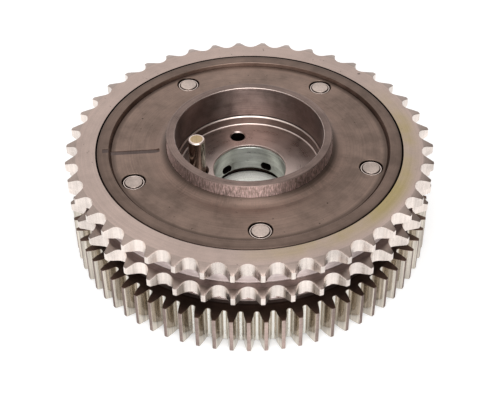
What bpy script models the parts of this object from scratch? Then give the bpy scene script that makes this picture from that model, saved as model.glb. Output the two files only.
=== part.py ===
# Vane-type camshaft phaser with a duplex chain sprocket and a spur gear.
# Lengths are metres. The axis is Z. Z = 0 is the front face that it rests on,
# and the collar on the camshaft side points up.

import math

import bmesh
import bpy
from mathutils import Matrix, Vector

# Clearances between pieces
FIT_GAP = 0.0003
RUN_GAP = 0.0003
THREAD_GAP = 0.0003

# Duplex roller chain sprocket. Its tooth count follows from the wall under the teeth.
CHAIN_PITCH = 0.009525
ROLLER_D = 0.00635
SPROCKET_RIM = 0.0063
ROW_PITCH = 0.01024
TOOTH_WIDTH = 0.0052
TOOTH_RISE = 0.00127
TIP_LAND = 0.00135
SEAT_CLEARANCE = 0.00003
RELIEF_WIDTH = 0.0038
RELIEF_DROP = 0.00115
TOOTH_ANGLE = math.radians(-86.51)
GROOVE_DEPTH = 0.0019
GROOVE_FILLET = 0.0006

# Spur gear. Its tooth count follows from the wall under the teeth.
GEAR_MODULE = 0.00177
GEAR_RIM = 0.0060
GEAR_PRESSURE_ANGLE = math.radians(15.0)
GEAR_ADDENDUM = 0.00255
GEAR_DEDENDUM = 0.00245
GEAR_WIDTH = 0.0139
GEAR_TOOTH_ANGLE = math.radians(-90.7)
GEAR_BACKLASH = 0.00005
GEAR_ROOT_ROUND = 0.0007
GEAR_ROOT_CORNER = math.radians(50.0)

# Housing that carries both, from the chambers outwards
CHAMBER_DEPTH = 0.0175
HOUSING_WALL = 0.0052
NECK_STEP = 0.0016
NECK_HEIGHT = 0.00756
NECK_FILLET = 0.0008
WEB_HALF_ANGLE = math.radians(14.5)
CHAMBERS = 5
WIDE_CHAMBER_ANGLE = math.radians(163.4)
WIDE_CHAMBER_PITCH = math.radians(84.0)

# Rear cover on the camshaft side
REAR_COVER_LAND = 0.0059
REAR_COVER_THICKNESS = 0.0075
REAR_RIM_WIDTH = 0.0042
REAR_FACE_DROP = 0.0012
REAR_EDGE_CHAMFER = 0.0003
COLLAR_STEP = 0.0005
COLLAR_WALL = 0.00295
COLLAR_HEIGHT = 0.0050
COLLAR_CHAMFER = 0.0004
FILLET_RUN = 0.0046
FILLET_RISE = 0.0016
UNDERCUT = 0.0004
MARK_ANGLE = math.radians(184.2)
MARK_WIDTH = 0.0014
MARK_DEPTH = 0.0003
MARK_FROM_COLLAR = 0.00265
MARK_FROM_EDGE = 0.0024
SCREW_END_RECESS_R = 0.0042
SCREW_END_RECESS_DEPTH = 0.0016

# Front cover, the hidden side
FRONT_COVER_THICKNESS = 0.0066
FRONT_FLANGE_WIDTH = 0.0043
FRONT_FLANGE_THICKNESS = 0.0026
FRONT_BORE_R = 0.0170
FRONT_CHAMFER = 0.0004

# Long screws that clamp the covers
SCREW_INSET = 0.0041
SCREW_R = 0.0030
SCREW_HEAD_R = 0.0052
SCREW_HEAD_HEIGHT = 0.0038
SCREW_HEAD_SINK = 0.0003
SCREW_END_BELOW_FACE = 0.0001
SCREW_CHAMFER = 0.0004
SCREW_SOCKET_R = 0.0023
SCREW_SOCKET_DEPTH = 0.0022
SCREW_SOCKET_SIDES = 6

# Rotor, from the centre bore outwards
CENTRE_BORE_R = 0.0145
HUB_FACE_WIDTH = 0.0112
HUB_SEAL_LAND = 0.0043
NARROW_VANE_HALF_ANGLE = math.radians(8.5)
WIDE_VANE_HALF_ANGLE = math.radians(17.0)
REST_PHASE = math.radians(-7.0)
HUB_RECESS_DEPTH = 0.0035
HUB_RECESS_FILLET = 0.0006
HUB_EDGE_CHAMFER = 0.0004
LIP_WIDTH = 0.0015
LIP_THICKNESS = 0.0008
LIP_CHAMFER = 0.0003
OIL_GROOVE_DEPTH = 0.0015
OIL_GROOVE_WIDTH = 0.0034
PASSAGE_R = 0.0014
PASSAGE_OFFSET = math.radians(3.5)
DOWEL_OFFSET = 0.0041
DOWEL_ANGLE = math.radians(184.0)
DOWEL_R = 0.0030
DOWEL_HEIGHT = 0.0144
DOWEL_SINK = 0.0056
DOWEL_CHAMFER = 0.0005
DOWEL_COUNTERSINK = 0.0007
OIL_HOLE_OFFSET = 0.0043
OIL_HOLE_ANGLE = math.radians(103.2)
OIL_HOLE_R = 0.0026
OIL_HOLE_DEPTH = 0.0062
OIL_HOLE_CHAMFER = 0.0004

# Apex seals at the vane tips and the leaf springs behind them
SEAL_WIDTH = 0.0020
SEAL_LENGTH = 0.0025
SEAL_EDGE = 0.0003
WIDE_SEAL_OFFSET = math.radians(9.8)
LEAF_THICKNESS = 0.0004
LEAF_WIDTH = 0.0016
LEAF_RISE = 0.0004
LEAF_SEGMENTS = 6

# Lock pin in the wide vane, its spring, plug and seat
LOCK_WALL = 0.0038
LOCK_BODY_R = 0.0050
LOCK_NOSE_R = 0.0038
LOCK_NOSE_LENGTH = 0.0063
LOCK_HOLLOW_R = 0.0034
LOCK_FLOOR = 0.0020
LOCK_CHAMFER = 0.0005
LOCK_TRAVEL = 0.0030
LOCK_STOP_ANGLE = math.radians(-3.0)
PLUG_THICKNESS = 0.0024
PLUG_SINK = 0.0005
PLUG_VENT_R = 0.0012
SPRING_WIRE_R = 0.00035
SPRING_COIL_R = 0.0025
SPRING_TURNS = 4
SEAT_BUSH_WALL = 0.0022
SEAT_BUSH_LENGTH = 0.0039
SEAT_NOSE_CLEARANCE = 0.0004

# Centre sleeve with its oil ports and the bush below it
SLEEVE_WALL = 0.0013
SLEEVE_LENGTH = 0.0090
SLEEVE_BAND = 0.0030
SLEEVE_TAPER = 0.0007
PORTS = 5
PORT_ANGLE = math.radians(60.6)
PORT_LENGTH = 0.0044
PORT_HEIGHT = 0.0026
PORT_ABOVE_END = 0.0015
BUSH_LENGTH = 0.0053
BUSH_BORE_R = 0.0080
BUSH_CHAMFER = 0.0005

# Faceting of round pieces
COVER_STEPS = 48
BORE_STEPS = 32
SMALL_STEPS = 14
SCREW_STEPS = 10
PASSAGE_STEPS = 10
COIL_STEPS = 9
SEAT_STEPS = 5
FILLET_STEPS = 3
PORT_END_STEPS = 4
ARC_STEP = math.radians(7.5)
SMOOTH_ANGLE = math.radians(32.0)
MERGE = 0.00001
OVERCUT = 0.0010
GULLET_OVERCUT = 0.0006

# Levels along the axis
GEAR_TOP = GEAR_WIDTH
LOWER_ROW_BOTTOM = GEAR_TOP + NECK_HEIGHT
UPPER_ROW_BOTTOM = LOWER_ROW_BOTTOM + ROW_PITCH
SPROCKET_TOP = UPPER_ROW_BOTTOM + TOOTH_WIDTH
HOUSING_BOTTOM = FRONT_COVER_THICKNESS + FIT_GAP
REAR_COVER_BOTTOM = SPROCKET_TOP - REAR_COVER_THICKNESS
RECESS_FLOOR = REAR_COVER_BOTTOM - FIT_GAP
REAR_FACE = SPROCKET_TOP - REAR_FACE_DROP
COLLAR_TOP = SPROCKET_TOP + COLLAR_HEIGHT
ROTOR_BOTTOM = FRONT_COVER_THICKNESS + RUN_GAP
ROTOR_TOP = REAR_COVER_BOTTOM - RUN_GAP
HUB_FACE = ROTOR_TOP - HUB_RECESS_DEPTH
LIP_BOTTOM = HUB_FACE - LIP_THICKNESS
SLEEVE_TOP = LIP_BOTTOM - FIT_GAP
SLEEVE_BOTTOM = SLEEVE_TOP - SLEEVE_LENGTH
PORT_LEVEL = SLEEVE_BOTTOM + PORT_ABOVE_END
BUSH_TOP = ROTOR_BOTTOM + BUSH_LENGTH
LOCK_SHOULDER = ROTOR_BOTTOM + LOCK_NOSE_LENGTH
LOCK_HOLLOW_FLOOR = ROTOR_BOTTOM + LOCK_FLOOR
PLUG_TOP = ROTOR_TOP - PLUG_SINK
PLUG_BOTTOM = PLUG_TOP - PLUG_THICKNESS
LOCK_TOP = PLUG_BOTTOM - FIT_GAP - LOCK_TRAVEL
HEAD_SEAT = SCREW_HEAD_SINK + SCREW_HEAD_HEIGHT
SCREW_END = REAR_FACE - SCREW_END_BELOW_FACE

# Radii that follow, from the centre outwards
LIP_R = CENTRE_BORE_R - LIP_WIDTH
OIL_GROOVE_R = CENTRE_BORE_R + OIL_GROOVE_DEPTH
DOWEL_CIRCLE_R = CENTRE_BORE_R + DOWEL_OFFSET
OIL_HOLE_CIRCLE_R = CENTRE_BORE_R + OIL_HOLE_OFFSET
HUB_RECESS_R = CENTRE_BORE_R + HUB_FACE_WIDTH
COLLAR_BORE_R = HUB_RECESS_R + COLLAR_STEP
COLLAR_R = COLLAR_BORE_R + COLLAR_WALL
HUB_R = COLLAR_BORE_R + HUB_SEAL_LAND
CHAMBER_R = HUB_R + CHAMBER_DEPTH
WEB_TIP_R = HUB_R + RUN_GAP
VANE_R = CHAMBER_R - RUN_GAP
SCREW_CIRCLE_R = CHAMBER_R - SCREW_INSET
LOCK_CIRCLE_R = VANE_R - LOCK_WALL - LOCK_BODY_R - FIT_GAP
SPIGOT_R = CHAMBER_R + HOUSING_WALL
NECK_R = SPIGOT_R + NECK_STEP
FRONT_FLANGE_R = SPIGOT_R + FRONT_FLANGE_WIDTH
REAR_COVER_R = CHAMBER_R + REAR_COVER_LAND
REAR_RIM_R = REAR_COVER_R - REAR_RIM_WIDTH
MARK_INNER_R = COLLAR_R + MARK_FROM_COLLAR
MARK_OUTER_R = REAR_COVER_R - MARK_FROM_EDGE

# Tooth counts that give the walls asked for, and the circles of the teeth
SEAT_R = ROLLER_D / 2 + SEAT_CLEARANCE
WANTED_PITCH_R = REAR_COVER_R + FIT_GAP + SPROCKET_RIM + SEAT_R
SPROCKET_TEETH = round(math.pi / math.asin(CHAIN_PITCH / (2 * WANTED_PITCH_R)))
SPROCKET_PITCH_R = CHAIN_PITCH / (2 * math.sin(math.pi / SPROCKET_TEETH))
ROOT_R = SPROCKET_PITCH_R - SEAT_R
TIP_R = SPROCKET_PITCH_R + TOOTH_RISE
GROOVE_R = ROOT_R - GROOVE_DEPTH
SPROCKET_STEPS = 2 * SPROCKET_TEETH
GEAR_TEETH = round(2 * (SPIGOT_R + FIT_GAP + GEAR_RIM + GEAR_DEDENDUM) / GEAR_MODULE)
GEAR_PITCH_R = GEAR_MODULE * GEAR_TEETH / 2
GEAR_TIP_R = GEAR_PITCH_R + GEAR_ADDENDUM
GEAR_ROOT_R = GEAR_PITCH_R - GEAR_DEDENDUM

# Sizes of fits and angles that follow
SCREW_HOLE_R = SCREW_R + THREAD_GAP
SLOT_WIDTH = SEAL_WIDTH + 2 * FIT_GAP
SLOT_DEPTH = SEAL_LENGTH + LEAF_RISE + LEAF_THICKNESS + 2 * FIT_GAP
SLEEVE_R = CENTRE_BORE_R - FIT_GAP
SEAT_BUSH_BORE_R = LOCK_NOSE_R + SEAT_NOSE_CLEARANCE
SEAT_BUSH_R = SEAT_BUSH_BORE_R + SEAT_BUSH_WALL
NARROW_CHAMBER_PITCH = (2 * math.pi - WIDE_CHAMBER_PITCH) / (CHAMBERS - 1)
LOCK_ANGLE = WIDE_CHAMBER_ANGLE + REST_PHASE

STEEL_BRIGHT = ((0.62, 0.56, 0.53), 0.30)
STEEL_GEAR = ((0.66, 0.65, 0.63), 0.26)
STEEL_DARK = ((0.30, 0.25, 0.23), 0.36)
STEEL_ROTOR = ((0.46, 0.40, 0.38), 0.34)
STEEL_SCREW = ((0.74, 0.69, 0.66), 0.30)
STEEL_PIN = ((0.50, 0.45, 0.40), 0.24)
STEEL_SPRING = ((0.40, 0.40, 0.42), 0.32)
PLATED_SLEEVE = ((0.42, 0.44, 0.40), 0.38)
SEAL_RESIN = ((0.09, 0.08, 0.07), 0.55)


def clear_scene():
    for item in list(bpy.data.objects):
        bpy.data.objects.remove(item, do_unlink=True)


def new_collection(name):
    collection = bpy.data.collections.new(name)
    bpy.context.scene.collection.children.link(collection)
    return collection


def polar(radius, angle, height=0.0):
    return Vector((radius * math.cos(angle), radius * math.sin(angle), height))


def arc(radius, start, end):
    """Points on a circle round the axis, ends included."""
    count = max(2, math.ceil(abs(end - start) / ARC_STEP) + 1)
    step = (end - start) / (count - 1)
    return [polar(radius, start + step * index) for index in range(count)]


def circle(radius, steps):
    return [polar(radius, 2 * math.pi * index / steps) for index in range(steps)]


def turned(name, profile, steps, start_angle=0.0):
    """Revolves (radius, height) points. A profile that starts on the axis is open, any other is a ring."""
    mesh = bpy.data.meshes.new(name)
    points = [(radius, 0.0, height) for radius, height in profile]
    edges = [(index, index + 1) for index in range(len(points) - 1)]
    if profile[0][0] > 0:
        edges.append((len(points) - 1, 0))
    mesh.from_pydata(points, edges, [])
    obj = bpy.data.objects.new(name, mesh)
    screw = obj.modifiers.new("turn", "SCREW")
    screw.axis = "Z"
    screw.steps = steps
    screw.render_steps = steps
    screw.use_merge_vertices = True
    screw.merge_threshold = MERGE
    obj.rotation_euler.z = start_angle
    return obj


def extruded(name, outlines, bottom, top):
    """Fills closed outlines in the XY plane, with holes where they nest, and gives them a height."""
    curve = bpy.data.curves.new(name, "CURVE")
    curve.dimensions = "2D"
    curve.fill_mode = "BOTH"
    curve.extrude = (top - bottom) / 2
    for outline in outlines:
        spline = curve.splines.new("POLY")
        spline.points.add(len(outline) - 1)
        for point, place in zip(spline.points, outline):
            point.co = (place.x, place.y, 0.0, 1.0)
        spline.use_cyclic_u = True
    obj = bpy.data.objects.new(name, curve)
    obj.location.z = (top + bottom) / 2
    return obj


def cylinder(name, radius, bottom, top, steps, place=(0.0, 0.0)):
    mesh = bpy.data.meshes.new(name)
    shape = bmesh.new()
    bmesh.ops.create_cone(
        shape,
        cap_ends=True,
        segments=steps,
        radius1=radius,
        radius2=radius,
        depth=top - bottom,
    )
    shape.to_mesh(mesh)
    shape.free()
    obj = bpy.data.objects.new(name, mesh)
    obj.location = (place[0], place[1], (top + bottom) / 2)
    return obj


def block(name, size, location, rotation_z=0.0):
    mesh = bpy.data.meshes.new(name)
    shape = bmesh.new()
    bmesh.ops.create_cube(shape, size=1.0)
    bmesh.ops.scale(shape, vec=size, verts=shape.verts)
    shape.to_mesh(mesh)
    shape.free()
    obj = bpy.data.objects.new(name, mesh)
    obj.location = location
    obj.rotation_euler.z = rotation_z
    return obj


def evaluated_mesh(obj):
    bpy.context.view_layer.update()
    graph = bpy.context.evaluated_depsgraph_get()
    mesh = bpy.data.meshes.new_from_object(obj.evaluated_get(graph))
    weld = bmesh.new()
    weld.from_mesh(mesh)
    bmesh.ops.remove_doubles(weld, verts=weld.verts, dist=MERGE)
    weld.to_mesh(mesh)
    weld.free()
    return mesh


def as_mesh_object(obj, collection):
    """Links an object, turns its curve or modifiers into a plain closed mesh and keeps its place."""
    collection.objects.link(obj)
    mesh = evaluated_mesh(obj)
    name = obj.name
    place = obj.matrix_world.copy()
    bpy.data.objects.remove(obj, do_unlink=True)
    mesh.name = name
    result = bpy.data.objects.new(name, mesh)
    result.matrix_world = place
    collection.objects.link(result)
    return result


def make_cutter(obj):
    result = as_mesh_object(obj, CUTTERS)
    result.hide_render = True
    result.display_type = "WIRE"
    return result


def make_part(obj, finish):
    result = as_mesh_object(obj, PARTS)
    colour, roughness = finish
    material = bpy.data.materials.new(result.name)
    material.use_nodes = True
    shader = material.node_tree.nodes["Principled BSDF"]
    shader.inputs["Base Color"].default_value = (*colour, 1.0)
    shader.inputs["Roughness"].default_value = roughness
    shader.inputs["Metallic"].default_value = 0.0 if finish is SEAL_RESIN else 1.0
    result.data.materials.append(material)
    return result


def cut(target, *cutters):
    for cutter in cutters:
        modifier = target.modifiers.new(cutter.name, "BOOLEAN")
        modifier.operation = "DIFFERENCE"
        modifier.solver = "EXACT"
        modifier.object = make_cutter(cutter)


def settle(part):
    """Turns the cuts into plain mesh, welds slivers and shades round faces smooth."""
    mesh = evaluated_mesh(part)
    part.modifiers.clear()
    part.data = mesh
    mesh.name = part.name
    mesh.shade_smooth()
    mesh.set_sharp_from_angle(angle=SMOOTH_ANGLE)


def carry(parent, *children):
    """Parents pieces without moving them."""
    bpy.context.view_layer.update()
    for child in children:
        place = child.matrix_world.copy()
        child.parent = parent
        child.matrix_parent_inverse = parent.matrix_world.inverted()
        child.matrix_world = place


def axis_empty(name, location):
    empty = bpy.data.objects.new(name, None)
    empty.location = location
    PARTS.objects.link(empty)
    return empty


def chamber_centres():
    """Angle and half pitch of each chamber, the wide one first."""
    centres = [(WIDE_CHAMBER_ANGLE, WIDE_CHAMBER_PITCH / 2)]
    angle = WIDE_CHAMBER_ANGLE + WIDE_CHAMBER_PITCH / 2 + NARROW_CHAMBER_PITCH / 2
    for index in range(CHAMBERS - 1):
        centres.append((angle + index * NARROW_CHAMBER_PITCH, NARROW_CHAMBER_PITCH / 2))
    return centres


def screw_angles():
    return [centre - half_pitch for centre, half_pitch in chamber_centres()]


def vane_layout():
    """Centre angle, half angle and seal angle of each vane at rest."""
    layout = []
    for index, (centre, _) in enumerate(chamber_centres()):
        wide = index == 0
        half = WIDE_VANE_HALF_ANGLE if wide else NARROW_VANE_HALF_ANGLE
        offset = WIDE_SEAL_OFFSET if wide else 0.0
        layout.append((centre + REST_PHASE, half, centre + REST_PHASE + offset))
    return layout


# Sprocket, housing and gear


def seat_half_angle(half_mouth):
    """Half angle of the round seat, where flanks from the edges of the tip lands touch it."""
    reach = math.hypot(TOOTH_RISE, half_mouth)
    to_edge = math.atan2(half_mouth, TOOTH_RISE)
    return math.pi - to_edge - math.acos(SEAT_R / reach)


def sprocket_gullet(angle):
    """One space between teeth: a round roller seat with straight flanks that open past the tips."""
    radial = polar(1.0, angle)
    across = Vector((-radial.y, radial.x, 0.0))
    half_mouth = TIP_R * math.sin(math.pi / SPROCKET_TEETH) - TIP_LAND / 2
    seat_half = seat_half_angle(half_mouth)
    mouth_r = TIP_R + GULLET_OVERCUT
    half_mouth += GULLET_OVERCUT / math.tan(seat_half)
    points = [radial * mouth_r + across * half_mouth]
    for index in range(SEAT_STEPS + 1):
        turn = seat_half * (1 - 2 * index / SEAT_STEPS)
        inward = SPROCKET_PITCH_R - SEAT_R * math.cos(turn)
        points.append(radial * inward + across * (SEAT_R * math.sin(turn)))
    points.append(radial * mouth_r - across * half_mouth)
    return points


def tooth_row_profile(bottom):
    """Outer profile of one row of teeth from top to bottom, with relieved sides."""
    top = bottom + TOOTH_WIDTH
    inner = TIP_R - RELIEF_WIDTH
    return [
        (inner, top),
        (TIP_R, top - RELIEF_DROP),
        (TIP_R, bottom + RELIEF_DROP),
        (inner, bottom),
    ]


def chamber_outline(centre, half_pitch):
    start = centre - half_pitch + WEB_HALF_ANGLE
    end = centre + half_pitch - WEB_HALF_ANGLE
    inner_r = WEB_TIP_R - OVERCUT
    return arc(CHAMBER_R, start, end) + arc(inner_r, end, start)


def build_sprocket_housing():
    lower_row_top = LOWER_ROW_BOTTOM + TOOTH_WIDTH
    neck_foot = GEAR_TOP + FIT_GAP
    profile = tooth_row_profile(UPPER_ROW_BOTTOM)
    profile += [
        (GROOVE_R, UPPER_ROW_BOTTOM),
        (GROOVE_R, lower_row_top + GROOVE_FILLET),
        (GROOVE_R + GROOVE_FILLET, lower_row_top),
    ]
    profile += tooth_row_profile(LOWER_ROW_BOTTOM)
    profile += [
        (NECK_R, LOWER_ROW_BOTTOM),
        (NECK_R, neck_foot + NECK_FILLET),
        (NECK_R + NECK_FILLET, neck_foot),
        (SPIGOT_R, neck_foot),
        (SPIGOT_R, HOUSING_BOTTOM),
        (WEB_TIP_R, HOUSING_BOTTOM),
        (WEB_TIP_R, RECESS_FLOOR),
        (REAR_COVER_R + FIT_GAP, RECESS_FLOOR),
        (REAR_COVER_R + FIT_GAP, SPROCKET_TOP),
    ]
    half_facet = math.pi / SPROCKET_STEPS
    blank = turned("sprocket_housing", profile, SPROCKET_STEPS, TOOTH_ANGLE + half_facet)
    housing = make_part(blank, STEEL_BRIGHT)
    tooth_pitch = 2 * math.pi / SPROCKET_TEETH
    gullets = []
    for index in range(SPROCKET_TEETH):
        gullets.append(sprocket_gullet(TOOTH_ANGLE + (index + 0.5) * tooth_pitch))
    chambers = [chamber_outline(centre, half_pitch) for centre, half_pitch in chamber_centres()]
    cut(
        housing,
        extruded("gullets", gullets, LOWER_ROW_BOTTOM - OVERCUT, SPROCKET_TOP + OVERCUT),
        extruded("chambers", chambers, HOUSING_BOTTOM - OVERCUT, RECESS_FLOOR + OVERCUT),
        *screw_hole_cutters("housing", HOUSING_BOTTOM - OVERCUT, RECESS_FLOOR + OVERCUT),
    )
    settle(housing)
    return housing


def involute(radius):
    base_r = GEAR_PITCH_R * math.cos(GEAR_PRESSURE_ANGLE)
    pressure = math.acos(min(1.0, base_r / radius))
    return math.tan(pressure) - pressure


def gear_half_angle(radius):
    """Half of a tooth's angle at a radius on its involute flank."""
    half_thickness = math.pi * GEAR_MODULE / 4 - GEAR_BACKLASH
    return half_thickness / GEAR_PITCH_R + involute(GEAR_PITCH_R) - involute(radius)


def gear_outline():
    """Tooth tips, involute flanks and round roots."""
    pitch = 2 * math.pi / GEAR_TEETH
    flank_foot_r = GEAR_ROOT_R + GEAR_ROOT_ROUND
    flank_radii = [flank_foot_r, GEAR_TIP_R]
    points = []
    for index in range(GEAR_TEETH):
        centre = GEAR_TOOTH_ANGLE + index * pitch
        for radius in flank_radii:
            points.append(polar(radius, centre - gear_half_angle(radius)))
        for radius in reversed(flank_radii):
            points.append(polar(radius, centre + gear_half_angle(radius)))
        half_space = pitch / 2 - gear_half_angle(flank_foot_r)
        for turn in (GEAR_ROOT_CORNER, math.pi / 2, math.pi - GEAR_ROOT_CORNER):
            angle = centre + pitch / 2 - half_space * math.cos(turn)
            points.append(polar(flank_foot_r - GEAR_ROOT_ROUND * math.sin(turn), angle))
    return points


def build_spur_gear():
    bore = circle(SPIGOT_R + FIT_GAP, COVER_STEPS)
    blank = extruded("spur_gear", [gear_outline(), bore], 0.0, GEAR_TOP)
    gear = make_part(blank, STEEL_GEAR)
    seat_top = FRONT_FLANGE_THICKNESS + FIT_GAP
    flange_seat = cylinder("flange_seat", FRONT_FLANGE_R + FIT_GAP, -OVERCUT, seat_top, COVER_STEPS)
    cut(gear, flange_seat)
    settle(gear)
    return gear


# Covers and screws


def screw_hole_cutters(owner, bottom, top):
    cutters = []
    for index, angle in enumerate(screw_angles(), start=1):
        place = polar(SCREW_CIRCLE_R, angle)
        cutters.append(cylinder(f"{owner}_hole_{index}", SCREW_HOLE_R, bottom, top, SCREW_STEPS, place))
    return cutters


def fillet_profile():
    """Concave foot of the collar, from the undercut beside it out to the face."""
    inner_r = COLLAR_R + UNDERCUT
    points = []
    for index in range(FILLET_STEPS + 1):
        share = index / FILLET_STEPS
        points.append((inner_r + FILLET_RUN * share, REAR_FACE + FILLET_RISE * (1 - share) ** 2))
    return points


def build_rear_cover():
    profile = [
        (COLLAR_BORE_R + COLLAR_CHAMFER, COLLAR_TOP),
        (COLLAR_R - COLLAR_CHAMFER, COLLAR_TOP),
        (COLLAR_R, COLLAR_TOP - COLLAR_CHAMFER),
        (COLLAR_R, REAR_FACE + FILLET_RISE - UNDERCUT),
    ]
    profile += fillet_profile()
    profile += [
        (REAR_RIM_R - 2 * UNDERCUT, REAR_FACE),
        (REAR_RIM_R - UNDERCUT, REAR_FACE - UNDERCUT),
        (REAR_RIM_R, SPROCKET_TOP),
        (REAR_COVER_R - REAR_EDGE_CHAMFER, SPROCKET_TOP),
        (REAR_COVER_R, SPROCKET_TOP - REAR_EDGE_CHAMFER),
        (REAR_COVER_R, REAR_COVER_BOTTOM),
        (COLLAR_BORE_R, REAR_COVER_BOTTOM),
        (COLLAR_BORE_R, COLLAR_TOP - COLLAR_CHAMFER),
    ]
    cover = make_part(turned("rear_cover", profile, COVER_STEPS), STEEL_DARK)
    recesses = []
    for index, angle in enumerate(screw_angles(), start=1):
        place = polar(SCREW_CIRCLE_R, angle)
        floor = REAR_FACE - SCREW_END_RECESS_DEPTH
        name = f"screw_end_recess_{index}"
        recesses.append(cylinder(name, SCREW_END_RECESS_R, floor, SPROCKET_TOP, SMALL_STEPS, place))
    mark_height = 2 * (SPROCKET_TOP - REAR_FACE + MARK_DEPTH)
    mark_middle = polar((MARK_INNER_R + MARK_OUTER_R) / 2, MARK_ANGLE, SPROCKET_TOP)
    mark_size = (MARK_OUTER_R - MARK_INNER_R, MARK_WIDTH, mark_height)
    cut(
        cover,
        *screw_hole_cutters("rear_cover", REAR_COVER_BOTTOM - OVERCUT, SPROCKET_TOP + OVERCUT),
        *recesses,
        block("phase_mark", mark_size, mark_middle, MARK_ANGLE),
    )
    settle(cover)
    return cover


def build_front_cover():
    profile = [
        (SPIGOT_R, FRONT_COVER_THICKNESS),
        (SPIGOT_R, FRONT_FLANGE_THICKNESS),
        (FRONT_FLANGE_R, FRONT_FLANGE_THICKNESS),
        (FRONT_FLANGE_R, FRONT_CHAMFER),
        (FRONT_FLANGE_R - FRONT_CHAMFER, 0.0),
        (FRONT_BORE_R + FRONT_CHAMFER, 0.0),
        (FRONT_BORE_R, FRONT_CHAMFER),
        (FRONT_BORE_R, FRONT_COVER_THICKNESS),
    ]
    cover = make_part(turned("front_cover", profile, COVER_STEPS), STEEL_DARK)
    head_recesses = []
    for index, angle in enumerate(screw_angles(), start=1):
        place = polar(SCREW_CIRCLE_R, angle)
        name = f"head_recess_{index}"
        radius = SCREW_HEAD_R + FIT_GAP
        head_recesses.append(cylinder(name, radius, -OVERCUT, HEAD_SEAT + FIT_GAP, SMALL_STEPS, place))
    seat_place = polar(LOCK_CIRCLE_R, LOCK_ANGLE + LOCK_STOP_ANGLE)
    seat_floor = FRONT_COVER_THICKNESS - SEAT_BUSH_LENGTH - 2 * FIT_GAP
    seat_top = FRONT_COVER_THICKNESS + OVERCUT
    lock_pocket = cylinder(
        "lock_seat_pocket", SEAT_BUSH_R + FIT_GAP, seat_floor, seat_top, SMALL_STEPS, seat_place
    )
    cut(
        cover,
        *screw_hole_cutters("front_cover", -OVERCUT, FRONT_COVER_THICKNESS + OVERCUT),
        *head_recesses,
        lock_pocket,
    )
    settle(cover)
    return cover


def build_cover_screws():
    profile = [
        (0.0, SCREW_END),
        (SCREW_R - SCREW_CHAMFER, SCREW_END),
        (SCREW_R, SCREW_END - SCREW_CHAMFER),
        (SCREW_R, HEAD_SEAT),
        (SCREW_HEAD_R, HEAD_SEAT),
        (SCREW_HEAD_R, SCREW_HEAD_SINK + SCREW_CHAMFER),
        (SCREW_HEAD_R - SCREW_CHAMFER, SCREW_HEAD_SINK),
        (0.0, SCREW_HEAD_SINK),
    ]
    screws = []
    for index, angle in enumerate(screw_angles(), start=1):
        body = turned(f"cover_screw_{index}", profile, SCREW_STEPS)
        place = polar(SCREW_CIRCLE_R, angle)
        body.location = place
        screw = make_part(body, STEEL_SCREW)
        socket_top = SCREW_HEAD_SINK + SCREW_SOCKET_DEPTH
        name = f"screw_socket_{index}"
        cut(screw, cylinder(name, SCREW_SOCKET_R, -OVERCUT, socket_top, SCREW_SOCKET_SIDES, place))
        settle(screw)
        screws.append(screw)
    return screws


# Rotor and the pieces it carries


def rotor_outline():
    """Hub arcs joined by vanes, each vane with a slot for its seal."""
    points = []
    layout = vane_layout()
    for index, (centre, half, seal_angle) in enumerate(layout):
        points += arc(VANE_R, centre - half, seal_angle - SLOT_WIDTH / (2 * VANE_R))
        radial = polar(1.0, seal_angle)
        across = Vector((-radial.y, radial.x, 0.0))
        slot_floor = VANE_R - SLOT_DEPTH
        points.append(radial * slot_floor - across * (SLOT_WIDTH / 2))
        points.append(radial * slot_floor + across * (SLOT_WIDTH / 2))
        points += arc(VANE_R, seal_angle + SLOT_WIDTH / (2 * VANE_R), centre + half)
        next_centre, next_half, _ = layout[(index + 1) % len(layout)]
        next_start = next_centre - next_half
        if index == len(layout) - 1:
            next_start += 2 * math.pi
        points += arc(HUB_R, centre + half, next_start)
    return points


def hub_cutter():
    """The camshaft recess, the lip and the stepped centre bore, as one turned tool."""
    groove_top = PORT_LEVEL + OIL_GROOVE_WIDTH / 2
    groove_bottom = PORT_LEVEL - OIL_GROOVE_WIDTH / 2
    fillet_sag = HUB_RECESS_FILLET * (1 - math.sqrt(0.5))
    profile = [
        (0.0, ROTOR_TOP + OVERCUT),
        (HUB_RECESS_R + HUB_EDGE_CHAMFER, ROTOR_TOP + OVERCUT),
        (HUB_RECESS_R + HUB_EDGE_CHAMFER, ROTOR_TOP),
        (HUB_RECESS_R, ROTOR_TOP - HUB_EDGE_CHAMFER),
        (HUB_RECESS_R, HUB_FACE + HUB_RECESS_FILLET),
        (HUB_RECESS_R - fillet_sag, HUB_FACE + fillet_sag),
        (HUB_RECESS_R - HUB_RECESS_FILLET, HUB_FACE),
        (LIP_R + LIP_CHAMFER, HUB_FACE),
        (LIP_R, HUB_FACE - LIP_CHAMFER),
        (LIP_R, LIP_BOTTOM),
        (CENTRE_BORE_R, LIP_BOTTOM),
        (CENTRE_BORE_R, groove_top),
        (OIL_GROOVE_R, groove_top),
        (OIL_GROOVE_R, groove_bottom),
        (CENTRE_BORE_R, groove_bottom),
        (CENTRE_BORE_R, ROTOR_BOTTOM - OVERCUT),
        (0.0, ROTOR_BOTTOM - OVERCUT),
    ]
    return turned("hub_bore", profile, BORE_STEPS)


def lock_bore_cutter():
    body_r = LOCK_BODY_R + FIT_GAP
    nose_r = LOCK_NOSE_R + FIT_GAP
    step = LOCK_SHOULDER - FIT_GAP
    profile = [
        (0.0, ROTOR_TOP + OVERCUT),
        (body_r, ROTOR_TOP + OVERCUT),
        (body_r, step),
        (nose_r, step),
        (nose_r, ROTOR_BOTTOM - OVERCUT),
        (0.0, ROTOR_BOTTOM - OVERCUT),
    ]
    tool = turned("lock_bore", profile, SMALL_STEPS)
    tool.location = polar(LOCK_CIRCLE_R, LOCK_ANGLE)
    return tool


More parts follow.
